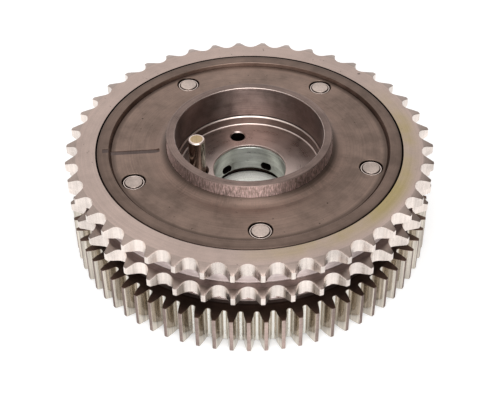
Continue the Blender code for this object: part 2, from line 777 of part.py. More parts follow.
def chamfered_hole(name, radius, bottom, chamfer, place):
    """A blind hole down from the hub face with a countersunk mouth."""
    profile = [
        (0.0, HUB_FACE + OVERCUT),
        (radius + chamfer, HUB_FACE + OVERCUT),
        (radius + chamfer, HUB_FACE),
        (radius, HUB_FACE - chamfer),
        (radius, bottom),
        (0.0, bottom),
    ]
    tool = turned(name, profile, SMALL_STEPS)
    tool.location = place
    return tool


def passage_cutters():
    """One radial oil passage beside each vane, from the groove in the bore to the chamber."""
    cutters = []
    length = HUB_R + OVERCUT - CENTRE_BORE_R
    for index, (centre, half, _) in enumerate(vane_layout(), start=1):
        angle = centre + half + PASSAGE_OFFSET
        tool = cylinder(f"oil_passage_{index}", PASSAGE_R, 0.0, length, PASSAGE_STEPS)
        tool.rotation_euler = (0.0, math.pi / 2, angle)
        tool.location = polar(CENTRE_BORE_R + length / 2, angle, PORT_LEVEL)
        cutters.append(tool)
    return cutters


def build_rotor():
    rotor = make_part(extruded("rotor", [rotor_outline()], ROTOR_BOTTOM, ROTOR_TOP), STEEL_ROTOR)
    dowel_place = polar(DOWEL_CIRCLE_R, DOWEL_ANGLE)
    dowel_floor = HUB_FACE - DOWEL_SINK - FIT_GAP
    oil_place = polar(OIL_HOLE_CIRCLE_R, OIL_HOLE_ANGLE)
    oil_floor = HUB_FACE - OIL_HOLE_DEPTH
    cut(
        rotor,
        hub_cutter(),
        lock_bore_cutter(),
        chamfered_hole("dowel_hole", DOWEL_R + FIT_GAP, dowel_floor, DOWEL_COUNTERSINK, dowel_place),
        chamfered_hole("oil_hole", OIL_HOLE_R, oil_floor, OIL_HOLE_CHAMFER, oil_place),
        *passage_cutters(),
    )
    settle(rotor)
    return rotor


def build_vane_seals():
    seals = []
    height = ROTOR_TOP - ROTOR_BOTTOM
    for index, (_, _, angle) in enumerate(vane_layout(), start=1):
        middle = polar(VANE_R - SEAL_LENGTH / 2, angle, ROTOR_BOTTOM + height / 2)
        body = block(f"vane_seal_{index}", (SEAL_LENGTH, SEAL_WIDTH, height), middle, angle)
        bevel = body.modifiers.new("edges", "BEVEL")
        bevel.width = SEAL_EDGE
        bevel.segments = 1
        seal = make_part(body, SEAL_RESIN)
        seals.append(seal)
    return seals


def build_leaf_springs():
    """Bowed strips that push the seals out, bearing on the slot floor at both ends."""
    springs = []
    height = ROTOR_TOP - ROTOR_BOTTOM
    length = height - 4 * FIT_GAP
    for index, (_, _, angle) in enumerate(vane_layout(), start=1):
        name = f"seal_spring_{index}"
        mesh = bpy.data.meshes.new(name)
        shape = bmesh.new()
        bmesh.ops.create_grid(shape, x_segments=LEAF_SEGMENTS, y_segments=1, size=0.5)
        for vert in shape.verts:
            along = vert.co.x
            side = vert.co.y
            bow = LEAF_RISE * (1 - 4 * along * along)
            vert.co = (bow, side * LEAF_WIDTH, along * length)
        shape.to_mesh(mesh)
        shape.free()
        body = bpy.data.objects.new(name, mesh)
        thicken = body.modifiers.new("thickness", "SOLIDIFY")
        thicken.thickness = LEAF_THICKNESS
        thicken.offset = 0.0
        radius = VANE_R - SLOT_DEPTH + FIT_GAP + LEAF_THICKNESS / 2
        body.location = polar(radius, angle, ROTOR_BOTTOM + height / 2)
        body.rotation_euler.z = angle
        springs.append(make_part(body, STEEL_SPRING))
    return springs


def build_dowel_pin():
    bottom = HUB_FACE - DOWEL_SINK
    top = HUB_FACE + DOWEL_HEIGHT
    profile = [
        (0.0, top),
        (DOWEL_R - DOWEL_CHAMFER, top),
        (DOWEL_R, top - DOWEL_CHAMFER),
        (DOWEL_R, bottom + DOWEL_CHAMFER),
        (DOWEL_R - DOWEL_CHAMFER, bottom),
        (0.0, bottom),
    ]
    pin = turned("dowel_pin", profile, SMALL_STEPS)
    pin.location = polar(DOWEL_CIRCLE_R, DOWEL_ANGLE)
    pin = make_part(pin, STEEL_PIN)
    settle(pin)
    return pin


def port_outline():
    """Obround port, longest across the axis."""
    end_r = PORT_HEIGHT / 2
    half_straight = (PORT_LENGTH - PORT_HEIGHT) / 2
    points = []
    for side in (1, -1):
        for index in range(PORT_END_STEPS + 1):
            turn = math.pi * (index / PORT_END_STEPS - 0.5)
            x = side * (half_straight + end_r * math.cos(turn))
            y = side * end_r * math.sin(turn)
            points.append(Vector((x, y, 0.0)))
    return points


def build_centre_sleeve():
    bore_r = SLEEVE_R - SLEEVE_WALL
    profile = [
        (SLEEVE_R, SLEEVE_TOP),
        (SLEEVE_R, SLEEVE_BOTTOM),
        (bore_r - SLEEVE_TAPER, SLEEVE_BOTTOM),
        (bore_r, SLEEVE_BOTTOM + SLEEVE_BAND),
        (bore_r, SLEEVE_TOP),
    ]
    sleeve = make_part(turned("centre_sleeve", profile, BORE_STEPS), PLATED_SLEEVE)
    ports = []
    depth = SLEEVE_WALL + 3 * OVERCUT
    for index in range(PORTS):
        angle = PORT_ANGLE + index * 2 * math.pi / PORTS
        tool = extruded(f"sleeve_port_{index + 1}", [port_outline()], 0.0, depth)
        tool.matrix_world = (
            Matrix.Translation(polar(SLEEVE_R + OVERCUT - depth / 2, angle, PORT_LEVEL))
            @ Matrix.Rotation(angle - math.pi / 2, 4, "Z")
            @ Matrix.Rotation(math.pi / 2, 4, "X")
        )
        ports.append(tool)
    cut(sleeve, *ports)
    settle(sleeve)
    return sleeve


def build_centre_bush():
    profile = [
        (SLEEVE_R, BUSH_TOP),
        (SLEEVE_R, ROTOR_BOTTOM),
        (BUSH_BORE_R, ROTOR_BOTTOM),
        (BUSH_BORE_R, BUSH_TOP - BUSH_CHAMFER),
        (BUSH_BORE_R + BUSH_CHAMFER, BUSH_TOP),
    ]
    bush = make_part(turned("centre_bush", profile, BORE_STEPS), PLATED_SLEEVE)
    settle(bush)
    return bush


def build_lock_pin():
    profile = [
        (0.0, LOCK_HOLLOW_FLOOR),
        (LOCK_HOLLOW_R, LOCK_HOLLOW_FLOOR),
        (LOCK_HOLLOW_R, LOCK_TOP),
        (LOCK_BODY_R - LOCK_CHAMFER, LOCK_TOP),
        (LOCK_BODY_R, LOCK_TOP - LOCK_CHAMFER),
        (LOCK_BODY_R, LOCK_SHOULDER),
        (LOCK_NOSE_R, LOCK_SHOULDER),
        (LOCK_NOSE_R, ROTOR_BOTTOM + LOCK_CHAMFER),
        (LOCK_NOSE_R - LOCK_CHAMFER, ROTOR_BOTTOM),
        (0.0, ROTOR_BOTTOM),
    ]
    pin = turned("lock_pin", profile, SMALL_STEPS)
    pin.location = polar(LOCK_CIRCLE_R, LOCK_ANGLE)
    pin = make_part(pin, STEEL_PIN)
    settle(pin)
    return pin


def build_lock_spring():
    curve = bpy.data.curves.new("lock_spring", "CURVE")
    curve.dimensions = "3D"
    curve.bevel_depth = SPRING_WIRE_R
    curve.bevel_resolution = 2
    curve.use_fill_caps = True
    count = SPRING_TURNS * COIL_STEPS + 1
    bottom = LOCK_HOLLOW_FLOOR + FIT_GAP + SPRING_WIRE_R
    top = PLUG_BOTTOM - FIT_GAP - SPRING_WIRE_R
    spline = curve.splines.new("POLY")
    spline.points.add(count - 1)
    for index, point in enumerate(spline.points):
        turn = 2 * math.pi * index / COIL_STEPS
        height = bottom + (top - bottom) * index / (count - 1)
        place = polar(SPRING_COIL_R, turn, height)
        point.co = (place.x, place.y, place.z, 1.0)
    spring = bpy.data.objects.new("lock_spring", curve)
    spring.location = polar(LOCK_CIRCLE_R, LOCK_ANGLE)
    spring = make_part(spring, STEEL_SPRING)
    settle(spring)
    return spring


def build_lock_plug():
    profile = [
        (LOCK_BODY_R, PLUG_TOP),
        (LOCK_BODY_R, PLUG_BOTTOM),
        (PLUG_VENT_R, PLUG_BOTTOM),
        (PLUG_VENT_R, PLUG_TOP),
    ]
    plug = turned("lock_plug", profile, SMALL_STEPS)
    plug.location = polar(LOCK_CIRCLE_R, LOCK_ANGLE)
    plug = make_part(plug, STEEL_DARK)
    settle(plug)
    return plug


def build_lock_seat_bush():
    top = FRONT_COVER_THICKNESS - FIT_GAP
    bottom = top - SEAT_BUSH_LENGTH
    profile = [
        (SEAT_BUSH_R, top),
        (SEAT_BUSH_R, bottom),
        (SEAT_BUSH_BORE_R, bottom),
        (SEAT_BUSH_BORE_R, top),
    ]
    bush = turned("lock_seat_bush", profile, SMALL_STEPS)
    bush.location = polar(LOCK_CIRCLE_R, LOCK_ANGLE + LOCK_STOP_ANGLE)
    bush = make_part(bush, STEEL_PIN)
    settle(bush)
    return bush


def build_stator():
    build_sprocket_housing()
    build_spur_gear()
    build_rear_cover()
    build_front_cover()
    build_cover_screws()
    build_lock_seat_bush()


def build_rotor_group():
    rotor = build_rotor()
    pieces = [rotor, build_dowel_pin(), build_centre_sleeve(), build_centre_bush()]
    pieces += build_vane_seals()
    pieces += build_leaf_springs()
    pieces += [build_lock_plug(), build_lock_spring()]
    lock_pin = build_lock_pin()
    phase_axis = axis_empty("phase_axis", (0.0, 0.0, ROTOR_BOTTOM))
    lock_axis = axis_empty("lock_axis", polar(LOCK_CIRCLE_R, LOCK_ANGLE, ROTOR_BOTTOM))
    carry(phase_axis, *pieces, lock_axis)
    carry(lock_axis, lock_pin)


clear_scene()
PARTS = new_collection("cam_phaser")
CUTTERS = new_collection("cam_phaser_cutters")
build_stator()
build_rotor_group()
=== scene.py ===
# Camshaft phaser: fine meshes and machined steel finishes over the CAD frame.
# Lengths in the tables are millimetres, and meshes are metres.

import math

import bmesh
import bpy
import numpy as np
from mathutils import Matrix, Vector


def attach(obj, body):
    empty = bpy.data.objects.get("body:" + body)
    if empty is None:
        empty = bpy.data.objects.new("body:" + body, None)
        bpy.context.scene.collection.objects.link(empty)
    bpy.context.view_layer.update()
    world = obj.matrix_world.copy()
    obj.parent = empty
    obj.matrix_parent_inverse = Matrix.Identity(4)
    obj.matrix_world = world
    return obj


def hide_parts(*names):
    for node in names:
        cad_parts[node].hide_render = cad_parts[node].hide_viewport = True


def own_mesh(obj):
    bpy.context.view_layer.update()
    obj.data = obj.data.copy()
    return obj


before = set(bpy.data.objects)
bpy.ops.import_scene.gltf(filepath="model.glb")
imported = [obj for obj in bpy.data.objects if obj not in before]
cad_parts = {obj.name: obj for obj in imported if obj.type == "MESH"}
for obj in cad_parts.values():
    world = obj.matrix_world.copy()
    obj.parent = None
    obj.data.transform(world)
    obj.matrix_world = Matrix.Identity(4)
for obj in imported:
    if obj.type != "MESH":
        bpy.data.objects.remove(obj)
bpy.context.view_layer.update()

MM = 0.001

# Points round a circle
COVER_STEPS = 320
HUB_STEPS = 288
TURN_STEPS = 240
SMALL_STEPS = 48
PASSAGE_STEPS = 32

# Sprocket teeth
TEETH = 42
CHAIN_PITCH = 9.525
SEAT_R = 3.205
PITCH_R = CHAIN_PITCH / (2 * math.sin(math.pi / TEETH))
SEAT_FLOOR_R = PITCH_R - SEAT_R
TIP_R = PITCH_R + 1.27
TIP_LAND = 1.35
TIP_ROUND = 0.28
TOOTH_ANGLE = math.radians(-86.51)
RELIEF_R = TIP_R - 3.8
RELIEF_DROP = 1.15
RELIEF_POWER = 1.35
TOOTH_EDGE = 0.14
TOOTH_SIDE_STEPS = (0.0, 0.12, 0.4, 0.7, 1.0)
GROOVE_R = SEAT_FLOOR_R - 1.9
LOWER_ROW = (21.46, 26.66)
UPPER_ROW = (31.70, 36.90)
TOP_SIDE_R = 59.6
UNDER_SIDE_R = 59.4

# Gear teeth
GEAR_TEETH = 70
GEAR_MODULE = 1.77
GEAR_PITCH_R = GEAR_MODULE * GEAR_TEETH / 2
GEAR_TIP_R = GEAR_PITCH_R + 2.55
GEAR_ROOT_R = GEAR_PITCH_R - 2.45
GEAR_ROOT_ROUND = 0.7
GEAR_TIP_ROUND = 0.12
GEAR_SHOULDER = 0.035
GEAR_THICKENING = 0.06
GEAR_PRESSURE_ANGLE = math.radians(15.0)
GEAR_ANGLE = math.radians(-90.7)
GEAR_TOP = 13.9
GEAR_EDGE = 0.10
GEAR_BORE_R = 53.5
GEAR_RECESS_R = 57.8
GEAR_RECESS = 2.9
GEAR_FACE_R = 58.9

# Housing, covers and screws
NECK_FOOT = 14.2
FLANGE_FOOT = 18.7
NECK_R = 54.8
NECK_FOOT_R = NECK_R + 1.6
SPIGOT_R = 53.2
HOUSING_BOTTOM = 6.9
WEB_TIP_R = 30.8
CHAMBER_R = 48.0
RECESS_FLOOR = 29.1
RECESS_R = 54.2
WEB_HALF = math.radians(14.5)
# Middle of each chamber and half of its angle to the middles of the webs, in degrees
CHAMBERS = [(163.4, 42.0), (239.9, 34.5), (308.9, 34.5), (17.9, 34.5), (86.9, 34.5)]
SCREW_ANGLES = [121.4, 205.4, 274.4, 343.4, 52.4]
SCREW_CIRCLE_R = 43.9
SCREW_R = 3.0
SCREW_HOLE_R = 3.3
SCREW_END = 35.6
SCREW_HEAD_R = 5.2
SCREW_HEAD_TOP = 4.1
SCREW_HEAD_BOTTOM = 0.3
HEAD_POCKET_R = 5.5
HEAD_POCKET_TOP = 4.4
HEXAGON_R = 2.3
HEXAGON_TOP = 2.5
COVER_BOTTOM = 29.4
COVER_FACE = 35.7
COVER_R = 53.9
RIM_R = 49.7
RIM_TOP = 36.9
COLLAR_TOP = 41.9
COLLAR_R = 29.15
COLLAR_BORE_R = 26.2
FILLET = 1.6
FRONT_COVER_R = 57.5
FRONT_COVER_BORE_R = 17.0
FRONT_COVER_TOP = 6.6
FRONT_FLANGE_TOP = 2.6
LOCK_POCKET_R = 6.7
LOCK_POCKET_FLOOR = 2.1

# Screw-end recess: a ring round the screw, and a moat round the ring
RECESS_RING_R = 3.62
RECESS_RING_DROP = 0.45
MOAT_R = 4.1
MOAT_DROP = 1.3
RECESS_CUT_FOOT = 28.0
RECESS_CUT_TOP = 39.0

# Timing mark: how far each stretch reaches outwards
MARK_ANGLE = math.radians(184.2)
MARK_HALF = 1.0
FACE_MARK = (31.8, 48.9)
RIM_MARK = (49.3, 51.9)
MARK_CUT_TOP = 38.4

# Rotor and what it carries
ROTOR_BOTTOM = 6.9
ROTOR_TOP = 29.1
HUB_FACE = 25.6
HUB_R = 30.5
VANE_R = 47.7
HUB_RECESS_R = 25.7
LIP_R = 13.0
LIP_UNDERSIDE = 24.8
BORE_R = 14.5
OIL_GROOVE_R = 16.0
OIL_GROOVE = (15.3, 18.7)
# Middle, half width and offset of the seal of each vane, in degrees
VANES = [(156.4, 17.0, 9.8), (232.9, 8.5, 0.0), (301.9, 8.5, 0.0), (10.9, 8.5, 0.0), (79.9, 8.5, 0.0)]
SEAL_SLOT_HALF = 1.3
SEAL_SLOT_DEPTH = 3.9
# Places are a radius and an angle in degrees
LOCK_PLACE = (38.6, 156.4)
LOCK_SEAT_PLACE = (38.6, 153.4)
LOCK_BORE_R = 5.3
LOCK_NOSE_R = 4.1
LOCK_STEP = 12.9
SPRING_COIL_R = 2.5
SPRING_WIRE_R = 0.35
SPRING_TURNS = 4
SPRING_ENDS = (9.2, 25.9)
DOWEL_PLACE = (18.6, 184.0)
DOWEL_R = 3.0
DOWEL_RISE = 14.4
OIL_PLACE = (18.8, 103.2)
OIL_R = 2.6
PASSAGE_R = 1.4
PASSAGE_LENGTH = 17.0
SLEEVE_R = 14.2
SLEEVE_BORE_R = 12.9
SLEEVE_TOP = 24.5
SLEEVE_BOTTOM = 15.5
PORT_LEVEL = 17.0
PORT_ANGLE = 60.6
PORT_COUNT = 5
PORT_HALF_HEIGHT = 1.3
PORT_HALF_STRAIGHT = 0.9
PORT_CUT_R = 13.05
PORT_CUT_HALF = 2.15
BUSH_TOP = 12.2
BUSH_BOTTOM = 6.9
BUSH_BORE_R = 8.0

# Shading: an edge is sharp past this angle, and a face is upright where its normal rises less than this
SHARP = math.radians(34.0)
UPRIGHT = 0.5
CORNER_STEPS = 3


# Mesh helpers


def place(radius, degrees, height=0.0):
    """A point in metres."""
    turn = math.radians(degrees)
    return Vector((radius * math.cos(turn), radius * math.sin(turn), height)) * MM


def spot(radius, degrees):
    """A point in millimetres."""
    return place(radius, degrees) / MM


def rounded(profile, closed=True):
    """Replaces each corner (x, y, size) by a short arc. A corner without a size stays sharp."""
    points = []
    count = len(profile)
    for index, corner in enumerate(profile):
        here = np.array(corner[:2], float)
        size = corner[2] if len(corner) > 2 else 0.0
        if size <= 0 or (not closed and index in (0, count - 1)):
            points.append(here)
            continue
        before = np.array(profile[index - 1][:2], float) - here
        after = np.array(profile[(index + 1) % count][:2], float) - here
        start = here + before / np.linalg.norm(before) * size
        end = here + after / np.linalg.norm(after) * size
        for share in np.linspace(0.0, 1.0, CORNER_STEPS + 1):
            points.append((1 - share) ** 2 * start + 2 * share * (1 - share) * here + share**2 * end)
    return np.array(points)


def mesh_object(name, verts, faces):
    mesh = bpy.data.meshes.new(name)
    mesh.from_pydata((np.asarray(verts) * MM).tolist(), [], faces)
    obj = bpy.data.objects.new(name, mesh)
    bpy.context.scene.collection.objects.link(obj)
    weld(mesh)
    return obj


def weld(mesh):
    """Joins points that coincide, drops faces without area and turns normals outwards."""
    shape = bmesh.new()
    shape.from_mesh(mesh)
    bmesh.ops.remove_doubles(shape, verts=shape.verts, dist=2e-6)
    bmesh.ops.dissolve_degenerate(shape, edges=shape.edges, dist=1e-6)
    bmesh.ops.recalc_face_normals(shape, faces=shape.faces)
    shape.to_mesh(mesh)
    shape.free()


def joined_loops(name, loops, ring=True):
    """Joins closed loops of points with quads. A ring also joins its last loop to its first."""
    loops = np.asarray(loops)
    rows, columns, _ = loops.shape
    faces = []
    for row in range(rows if ring else rows - 1):
        base = row * columns
        above = ((row + 1) % rows) * columns
        for column in range(columns):
            following = (column + 1) % columns
            faces.append((base + column, base + following, above + following, above + column))
    return mesh_object(name, loops.reshape(-1, 3), faces)


def turned(name, profile, steps=TURN_STEPS, centre=(0.0, 0.0), ring=True):
    """Revolves rounded (radius, height) points round an upright axis."""
    points = rounded(profile, closed=ring)
    angles = np.arange(steps) * 2 * math.pi / steps
    loops = []
    for radius, height in points:
        x = centre[0] + radius * np.cos(angles)
        y = centre[1] + radius * np.sin(angles)
        loops.append(np.stack([x, y, np.full(steps, height)], axis=1))
    return joined_loops(name, loops, ring)


def prism(name, outline, bottom, top):
    """An upright block with this (x, y) outline."""
    outline = np.asarray(outline)
    count = len(outline)
    low = np.column_stack([outline, np.full(count, bottom)])
    high = np.column_stack([outline, np.full(count, top)])
    faces = [tuple(range(count))[::-1], tuple(range(count, 2 * count))]
    for index in range(count):
        following = (index + 1) % count
        faces.append((index, following, count + following, count + index))
    return mesh_object(name, np.vstack([low, high]), faces)


def drill(name, radius, bottom, top, where, steps=SMALL_STEPS):
    """An upright cylinder that serves as a cutter."""
    centre = spot(*where)
    angles = np.arange(steps) * 2 * math.pi / steps
    outline = np.column_stack([centre.x + radius * np.cos(angles), centre.y + radius * np.sin(angles)])
    return prism(name, outline, bottom, top)


def apply_modifiers(obj):
    bpy.context.view_layer.update()
    graph = bpy.context.evaluated_depsgraph_get()
    mesh = bpy.data.meshes.new_from_object(obj.evaluated_get(graph))
    obj.modifiers.clear()
    obj.data = mesh


def cut(target, *cutters):
    for cutter in cutters:
        step = target.modifiers.new("cut", "BOOLEAN")
        step.operation = "DIFFERENCE"
        step.solver = "EXACT"
        step.object = cutter
    apply_modifiers(target)
    for cutter in cutters:
        bpy.data.objects.remove(cutter)


def face_table(obj):
    """Centre in millimetres and normal of each face."""
    count = len(obj.data.polygons)
    centres = np.zeros(count * 3, np.float32)
    normals = np.zeros(count * 3, np.float32)
    obj.data.polygons.foreach_get("center", centres)
    obj.data.polygons.foreach_get("normal", normals)
    return centres.reshape(-1, 3) / MM, normals.reshape(-1, 3)


def radii(centres):
    return np.linalg.norm(centres[:, :2], axis=1)


def distances(centres, middle):
    """How far each centre stands from an upright line through a point."""
    return np.hypot(centres[:, 0] - middle.x, centres[:, 1] - middle.y)


def dress(obj, node, body, own, finishes=None):
    """Shades a finished piece, gives it its materials, and puts it in the place of its CAD node.

    finishes gives pairs of faces and the material that they take in place of the piece's own, and a later
    pair goes over an earlier one. Its margins in millimetres take in an edge or leave it out."""
    materials = [own]
    index = np.zeros(len(obj.data.polygons), np.int32)
    for faces, material in finishes(*face_table(obj)) if finishes else []:
        if material not in materials:
            materials.append(material)
        index[faces] = materials.index(material)
    obj.data.materials.clear()
    for material in materials:
        obj.data.materials.append(material)
    obj.data.polygons.foreach_set("material_index", index)
    obj.data.shade_smooth()
    obj.data.set_sharp_from_angle(angle=SHARP)
    even = obj.modifiers.new("even_shading", "WEIGHTED_NORMAL")
    even.keep_sharp = True
    even.weight = 60
    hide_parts(node)
    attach(obj, body)


# Sprocket housing and gear


def outline_normals(points):
    """Unit vectors that point into the material from an outline that runs anticlockwise."""
    along = np.roll(points, -1, axis=0) - np.roll(points, 1, axis=0)
    along /= np.linalg.norm(along, axis=1)[:, None]
    return np.column_stack([-along[:, 1], along[:, 0]])


def sprocket_outline():
    """Tip lands, straight flanks and round roller seats, anticlockwise."""
    pitch = 2 * math.pi / TEETH
    half_mouth = TIP_R * math.sin(pitch / 2) - TIP_LAND / 2
    rise = TIP_R - PITCH_R
    seat_half = math.pi - math.atan2(half_mouth, rise) - math.acos(SEAT_R / math.hypot(rise, half_mouth))
    seat = []
    for turn in np.linspace(-seat_half, seat_half, 13):
        seat.append((PITCH_R - SEAT_R * math.cos(turn), SEAT_R * math.sin(turn)))
    edge_x = math.sqrt(TIP_R**2 - half_mouth**2)
    tip_x = TIP_R * math.cos(pitch / 2)
    tip_y = TIP_R * math.sin(pitch / 2)
    first_edge = [(tip_x, -tip_y), (edge_x, -half_mouth, TIP_ROUND)]
    second_edge = [(edge_x, half_mouth, TIP_ROUND), (tip_x, tip_y)]
    gap = rounded(first_edge + seat + second_edge, closed=False)[:-1]
    points = []
    for index in range(TEETH):
        turn = TOOTH_ANGLE + (index + 0.5) * pitch
        cos = math.cos(turn)
        sin = math.sin(turn)
        points.append(np.column_stack([gap[:, 0] * cos - gap[:, 1] * sin, gap[:, 0] * sin + gap[:, 1] * cos]))
    return np.vstack(points)


def relief(radius):
    """How far a tooth's side falls back towards its tip."""
    share = np.clip((radius - RELIEF_R) / (TIP_R - RELIEF_R), 0.0, 1.0)
    return RELIEF_DROP * share**RELIEF_POWER


def row_loops(outline, row):
    """Loops over one row of teeth, from its upper side near the groove to its lower side."""
    inward = outline_normals(outline)
    angles = np.arctan2(outline[:, 1], outline[:, 0])
    inset = outline + inward * TOOTH_EDGE
    inset_r = np.linalg.norm(inset, axis=1)
    crease_r = np.minimum(RELIEF_R, inset_r)
    crease = np.column_stack([crease_r * np.cos(angles), crease_r * np.sin(angles)])
    bottom, top = row
    side = []
    for share in TOOTH_SIDE_STEPS:
        at = crease + (inset - crease) * share
        side.append((at, relief(np.linalg.norm(at, axis=1))))
    wall_drop = relief(np.linalg.norm(outline, axis=1))
    soft = TOOTH_EDGE * (1 - math.sqrt(0.5))
    middle = outline + inward * soft
    loops = [np.column_stack([at, top - drop]) for at, drop in side]
    loops.append(np.column_stack([middle, top - wall_drop - soft]))
    loops.append(np.column_stack([outline, top - wall_drop - TOOTH_EDGE]))
    loops.append(np.column_stack([outline, bottom + wall_drop + TOOTH_EDGE]))
    loops.append(np.column_stack([middle, bottom + wall_drop + soft]))
    loops += [np.column_stack([at, bottom + drop]) for at, drop in reversed(side)]
    return loops


def circle_loops(angles, profile):
    """One loop for each point of a rounded (radius, height) profile."""
    loops = []
    for radius, height in rounded(profile, closed=False):
        x = radius * np.cos(angles)
        y = radius * np.sin(angles)
        loops.append(np.column_stack([x, y, np.full(len(angles), height)]))
    return loops


def chamber_outline(centre, half):
    start = math.radians(centre - half) + WEB_HALF
    end = math.radians(centre + half) - WEB_HALF
    outer = [(CHAMBER_R * math.cos(a), CHAMBER_R * math.sin(a)) for a in np.linspace(start, end, 24)]
    inner_r = WEB_TIP_R - 1.0
    inner = [(inner_r * math.cos(a), inner_r * math.sin(a)) for a in np.linspace(end, start, 12)]
    return np.array(outer + inner)


def screw_drills(radius, bottom, top):
    return [drill("screw_drill", radius, bottom, top, (SCREW_CIRCLE_R, angle)) for angle in SCREW_ANGLES]


def build_housing():
    outline = sprocket_outline()
    angles = np.arctan2(outline[:, 1], outline[:, 0])
    loops = circle_loops(angles, [
        (WEB_TIP_R, RECESS_FLOOR), (RECESS_R, RECESS_FLOOR, 0.5), (RECESS_R, UPPER_ROW[1], 0.25),
        (57.0, UPPER_ROW[1]), (TOP_SIDE_R, UPPER_ROW[1]),
    ])
    loops += row_loops(outline, UPPER_ROW)
    loops += circle_loops(angles, [
        (UNDER_SIDE_R, UPPER_ROW[0]), (GROOVE_R, UPPER_ROW[0], 0.5), (GROOVE_R, LOWER_ROW[1], 0.6),
        (TOP_SIDE_R, LOWER_ROW[1]),
    ])
    loops += row_loops(outline, LOWER_ROW)
    loops += circle_loops(angles, [
        (UNDER_SIDE_R, LOWER_ROW[0]), (GROOVE_R, LOWER_ROW[0], 0.4), (GROOVE_R, FLANGE_FOOT, 0.2),
        (NECK_R, FLANGE_FOOT, 0.4), (NECK_R, NECK_FOOT, 0.8), (NECK_FOOT_R, NECK_FOOT),
        (NECK_FOOT_R, NECK_FOOT - 0.02), (SPIGOT_R, NECK_FOOT - 0.02), (SPIGOT_R, HOUSING_BOTTOM, 0.4),
        (WEB_TIP_R, HOUSING_BOTTOM),
    ])
    housing = joined_loops("sprocket_housing_fine", loops)
    below = HOUSING_BOTTOM - 1
    above = RECESS_FLOOR + 1
    chambers = [prism("chamber", chamber_outline(*one), below, above) for one in CHAMBERS]
    cut(housing, *chambers, *screw_drills(SCREW_HOLE_R, below, above))

    def finishes(centres, normals):
        radius = radii(centres)
        heights = centres[:, 2]
        upright = np.abs(normals[:, 2]) < UPRIGHT
        groove_wall = upright & (np.abs(radius - GROOVE_R) < 0.5)
        # Painted shade on the faces between and under the rows, on the sides of the lower row and in the
        # housing's depths, and painted light on the groove and flange walls
        return [
            (radius < RELIEF_R, SHADED_STEEL),
            (groove_wall, GROOVE_LIT_STEEL),
            (groove_wall & (heights < LOWER_ROW[0]), FLANGE_LIT_STEEL),
            ((heights > UPPER_ROW[1] - 0.3) & (radius > RECESS_R), RING_STEEL),
            (radius > RELIEF_R, TOOTH_SIDE_STEEL),
            ((radius > RELIEF_R) & (heights < UPPER_ROW[0] - 2.0), LOWER_SIDE_SHADE_STEEL),
            (upright & (radius > SEAT_FLOOR_R - 0.4), TOOTH_STEEL),
            ((radius < RECESS_R + 0.14) & (heights < UPPER_ROW[1] - 0.01), DEPTH_SHADE_STEEL),
        ]

    dress(housing, "sprocket_housing", "housing", RING_STEEL, finishes)


def involute(radius):
    pressure = math.acos(min(1.0, GEAR_PITCH_R * math.cos(GEAR_PRESSURE_ANGLE) / radius))
    return math.tan(pressure) - pressure


def gear_half_angle(radius):
    """Half of a tooth's angle. The teeth are a little thicker than in the CAD, as in the photograph."""
    half_thickness = math.pi * GEAR_MODULE / 4 + GEAR_THICKENING
    return half_thickness / GEAR_PITCH_R + involute(GEAR_PITCH_R) - involute(radius)


def gear_outline():
    """Tip lands, involute flanks and round roots, anticlockwise."""
    pitch = 2 * math.pi / GEAR_TEETH
    foot = GEAR_ROOT_R + GEAR_ROOT_ROUND
    side = [(radius, gear_half_angle(radius)) for radius in np.linspace(foot, GEAR_TIP_R - GEAR_TIP_ROUND, 6)]
    half_space = pitch / 2 - side[0][1]
    tip_half = gear_half_angle(GEAR_TIP_R)
    side.append((GEAR_TIP_R - GEAR_SHOULDER, tip_half - GEAR_SHOULDER / GEAR_TIP_R))
    side.append((GEAR_TIP_R, tip_half - GEAR_TIP_ROUND / GEAR_TIP_R))
    points = []
    for index in range(GEAR_TEETH):
        centre = GEAR_ANGLE + index * pitch
        points += [(radius, centre - half) for radius, half in side]
        points.append((GEAR_TIP_R, centre))
        points += [(radius, centre + half) for radius, half in reversed(side)]
        for turn in np.linspace(0.0, math.pi, 10)[1:-1]:
            angle = centre + pitch / 2 - half_space * math.cos(turn)
            points.append((foot - GEAR_ROOT_ROUND * math.sin(turn), angle))
    return np.array([(radius * math.cos(angle), radius * math.sin(angle)) for radius, angle in points])


def build_gear():
    outline = gear_outline()
    inset = outline + outline_normals(outline) * GEAR_EDGE
    angles = np.arctan2(outline[:, 1], outline[:, 0])
    count = len(outline)
    loops = circle_loops(angles, [
        (GEAR_RECESS_R, GEAR_RECESS), (GEAR_BORE_R, GEAR_RECESS, 0.2), (GEAR_BORE_R, GEAR_TOP, 0.3),
        (56.5, GEAR_TOP), (GEAR_FACE_R, GEAR_TOP),
    ])
    loops.append(np.column_stack([inset, np.full(count, GEAR_TOP)]))
    loops.append(np.column_stack([outline, np.full(count, GEAR_TOP - GEAR_EDGE)]))
    loops.append(np.column_stack([outline, np.full(count, GEAR_EDGE)]))
    loops.append(np.column_stack([inset, np.zeros(count)]))
    loops += circle_loops(angles, [
        (GEAR_FACE_R, 0.0), (GEAR_RECESS_R, 0.0, 0.2), (GEAR_RECESS_R, GEAR_RECESS - 0.1),
    ])
    gear = joined_loops("spur_gear_fine", loops)

    def finishes(centres, normals):
        radius = radii(centres)
        upright = np.abs(normals[:, 2]) < UPRIGHT
        root = upright & (radius < GEAR_ROOT_R + 0.12) & (radius > GEAR_ROOT_R - 0.5)
        # A painted highlight in the roots of the teeth
        return [
            (upright & (radius > GEAR_TIP_R - 0.06), GEAR_TIP),
            (root, GEAR_ROOT_HIGHLIGHT),
            ((normals[:, 2] > 0.5) & (centres[:, 2] > GEAR_TOP - 0.2), GEAR_FACE),
            (normals[:, 2] < -0.9, GEAR_FACE),
        ]

    dress(gear, "spur_gear", "housing", GEAR_FLANK, finishes)


# Covers and screws


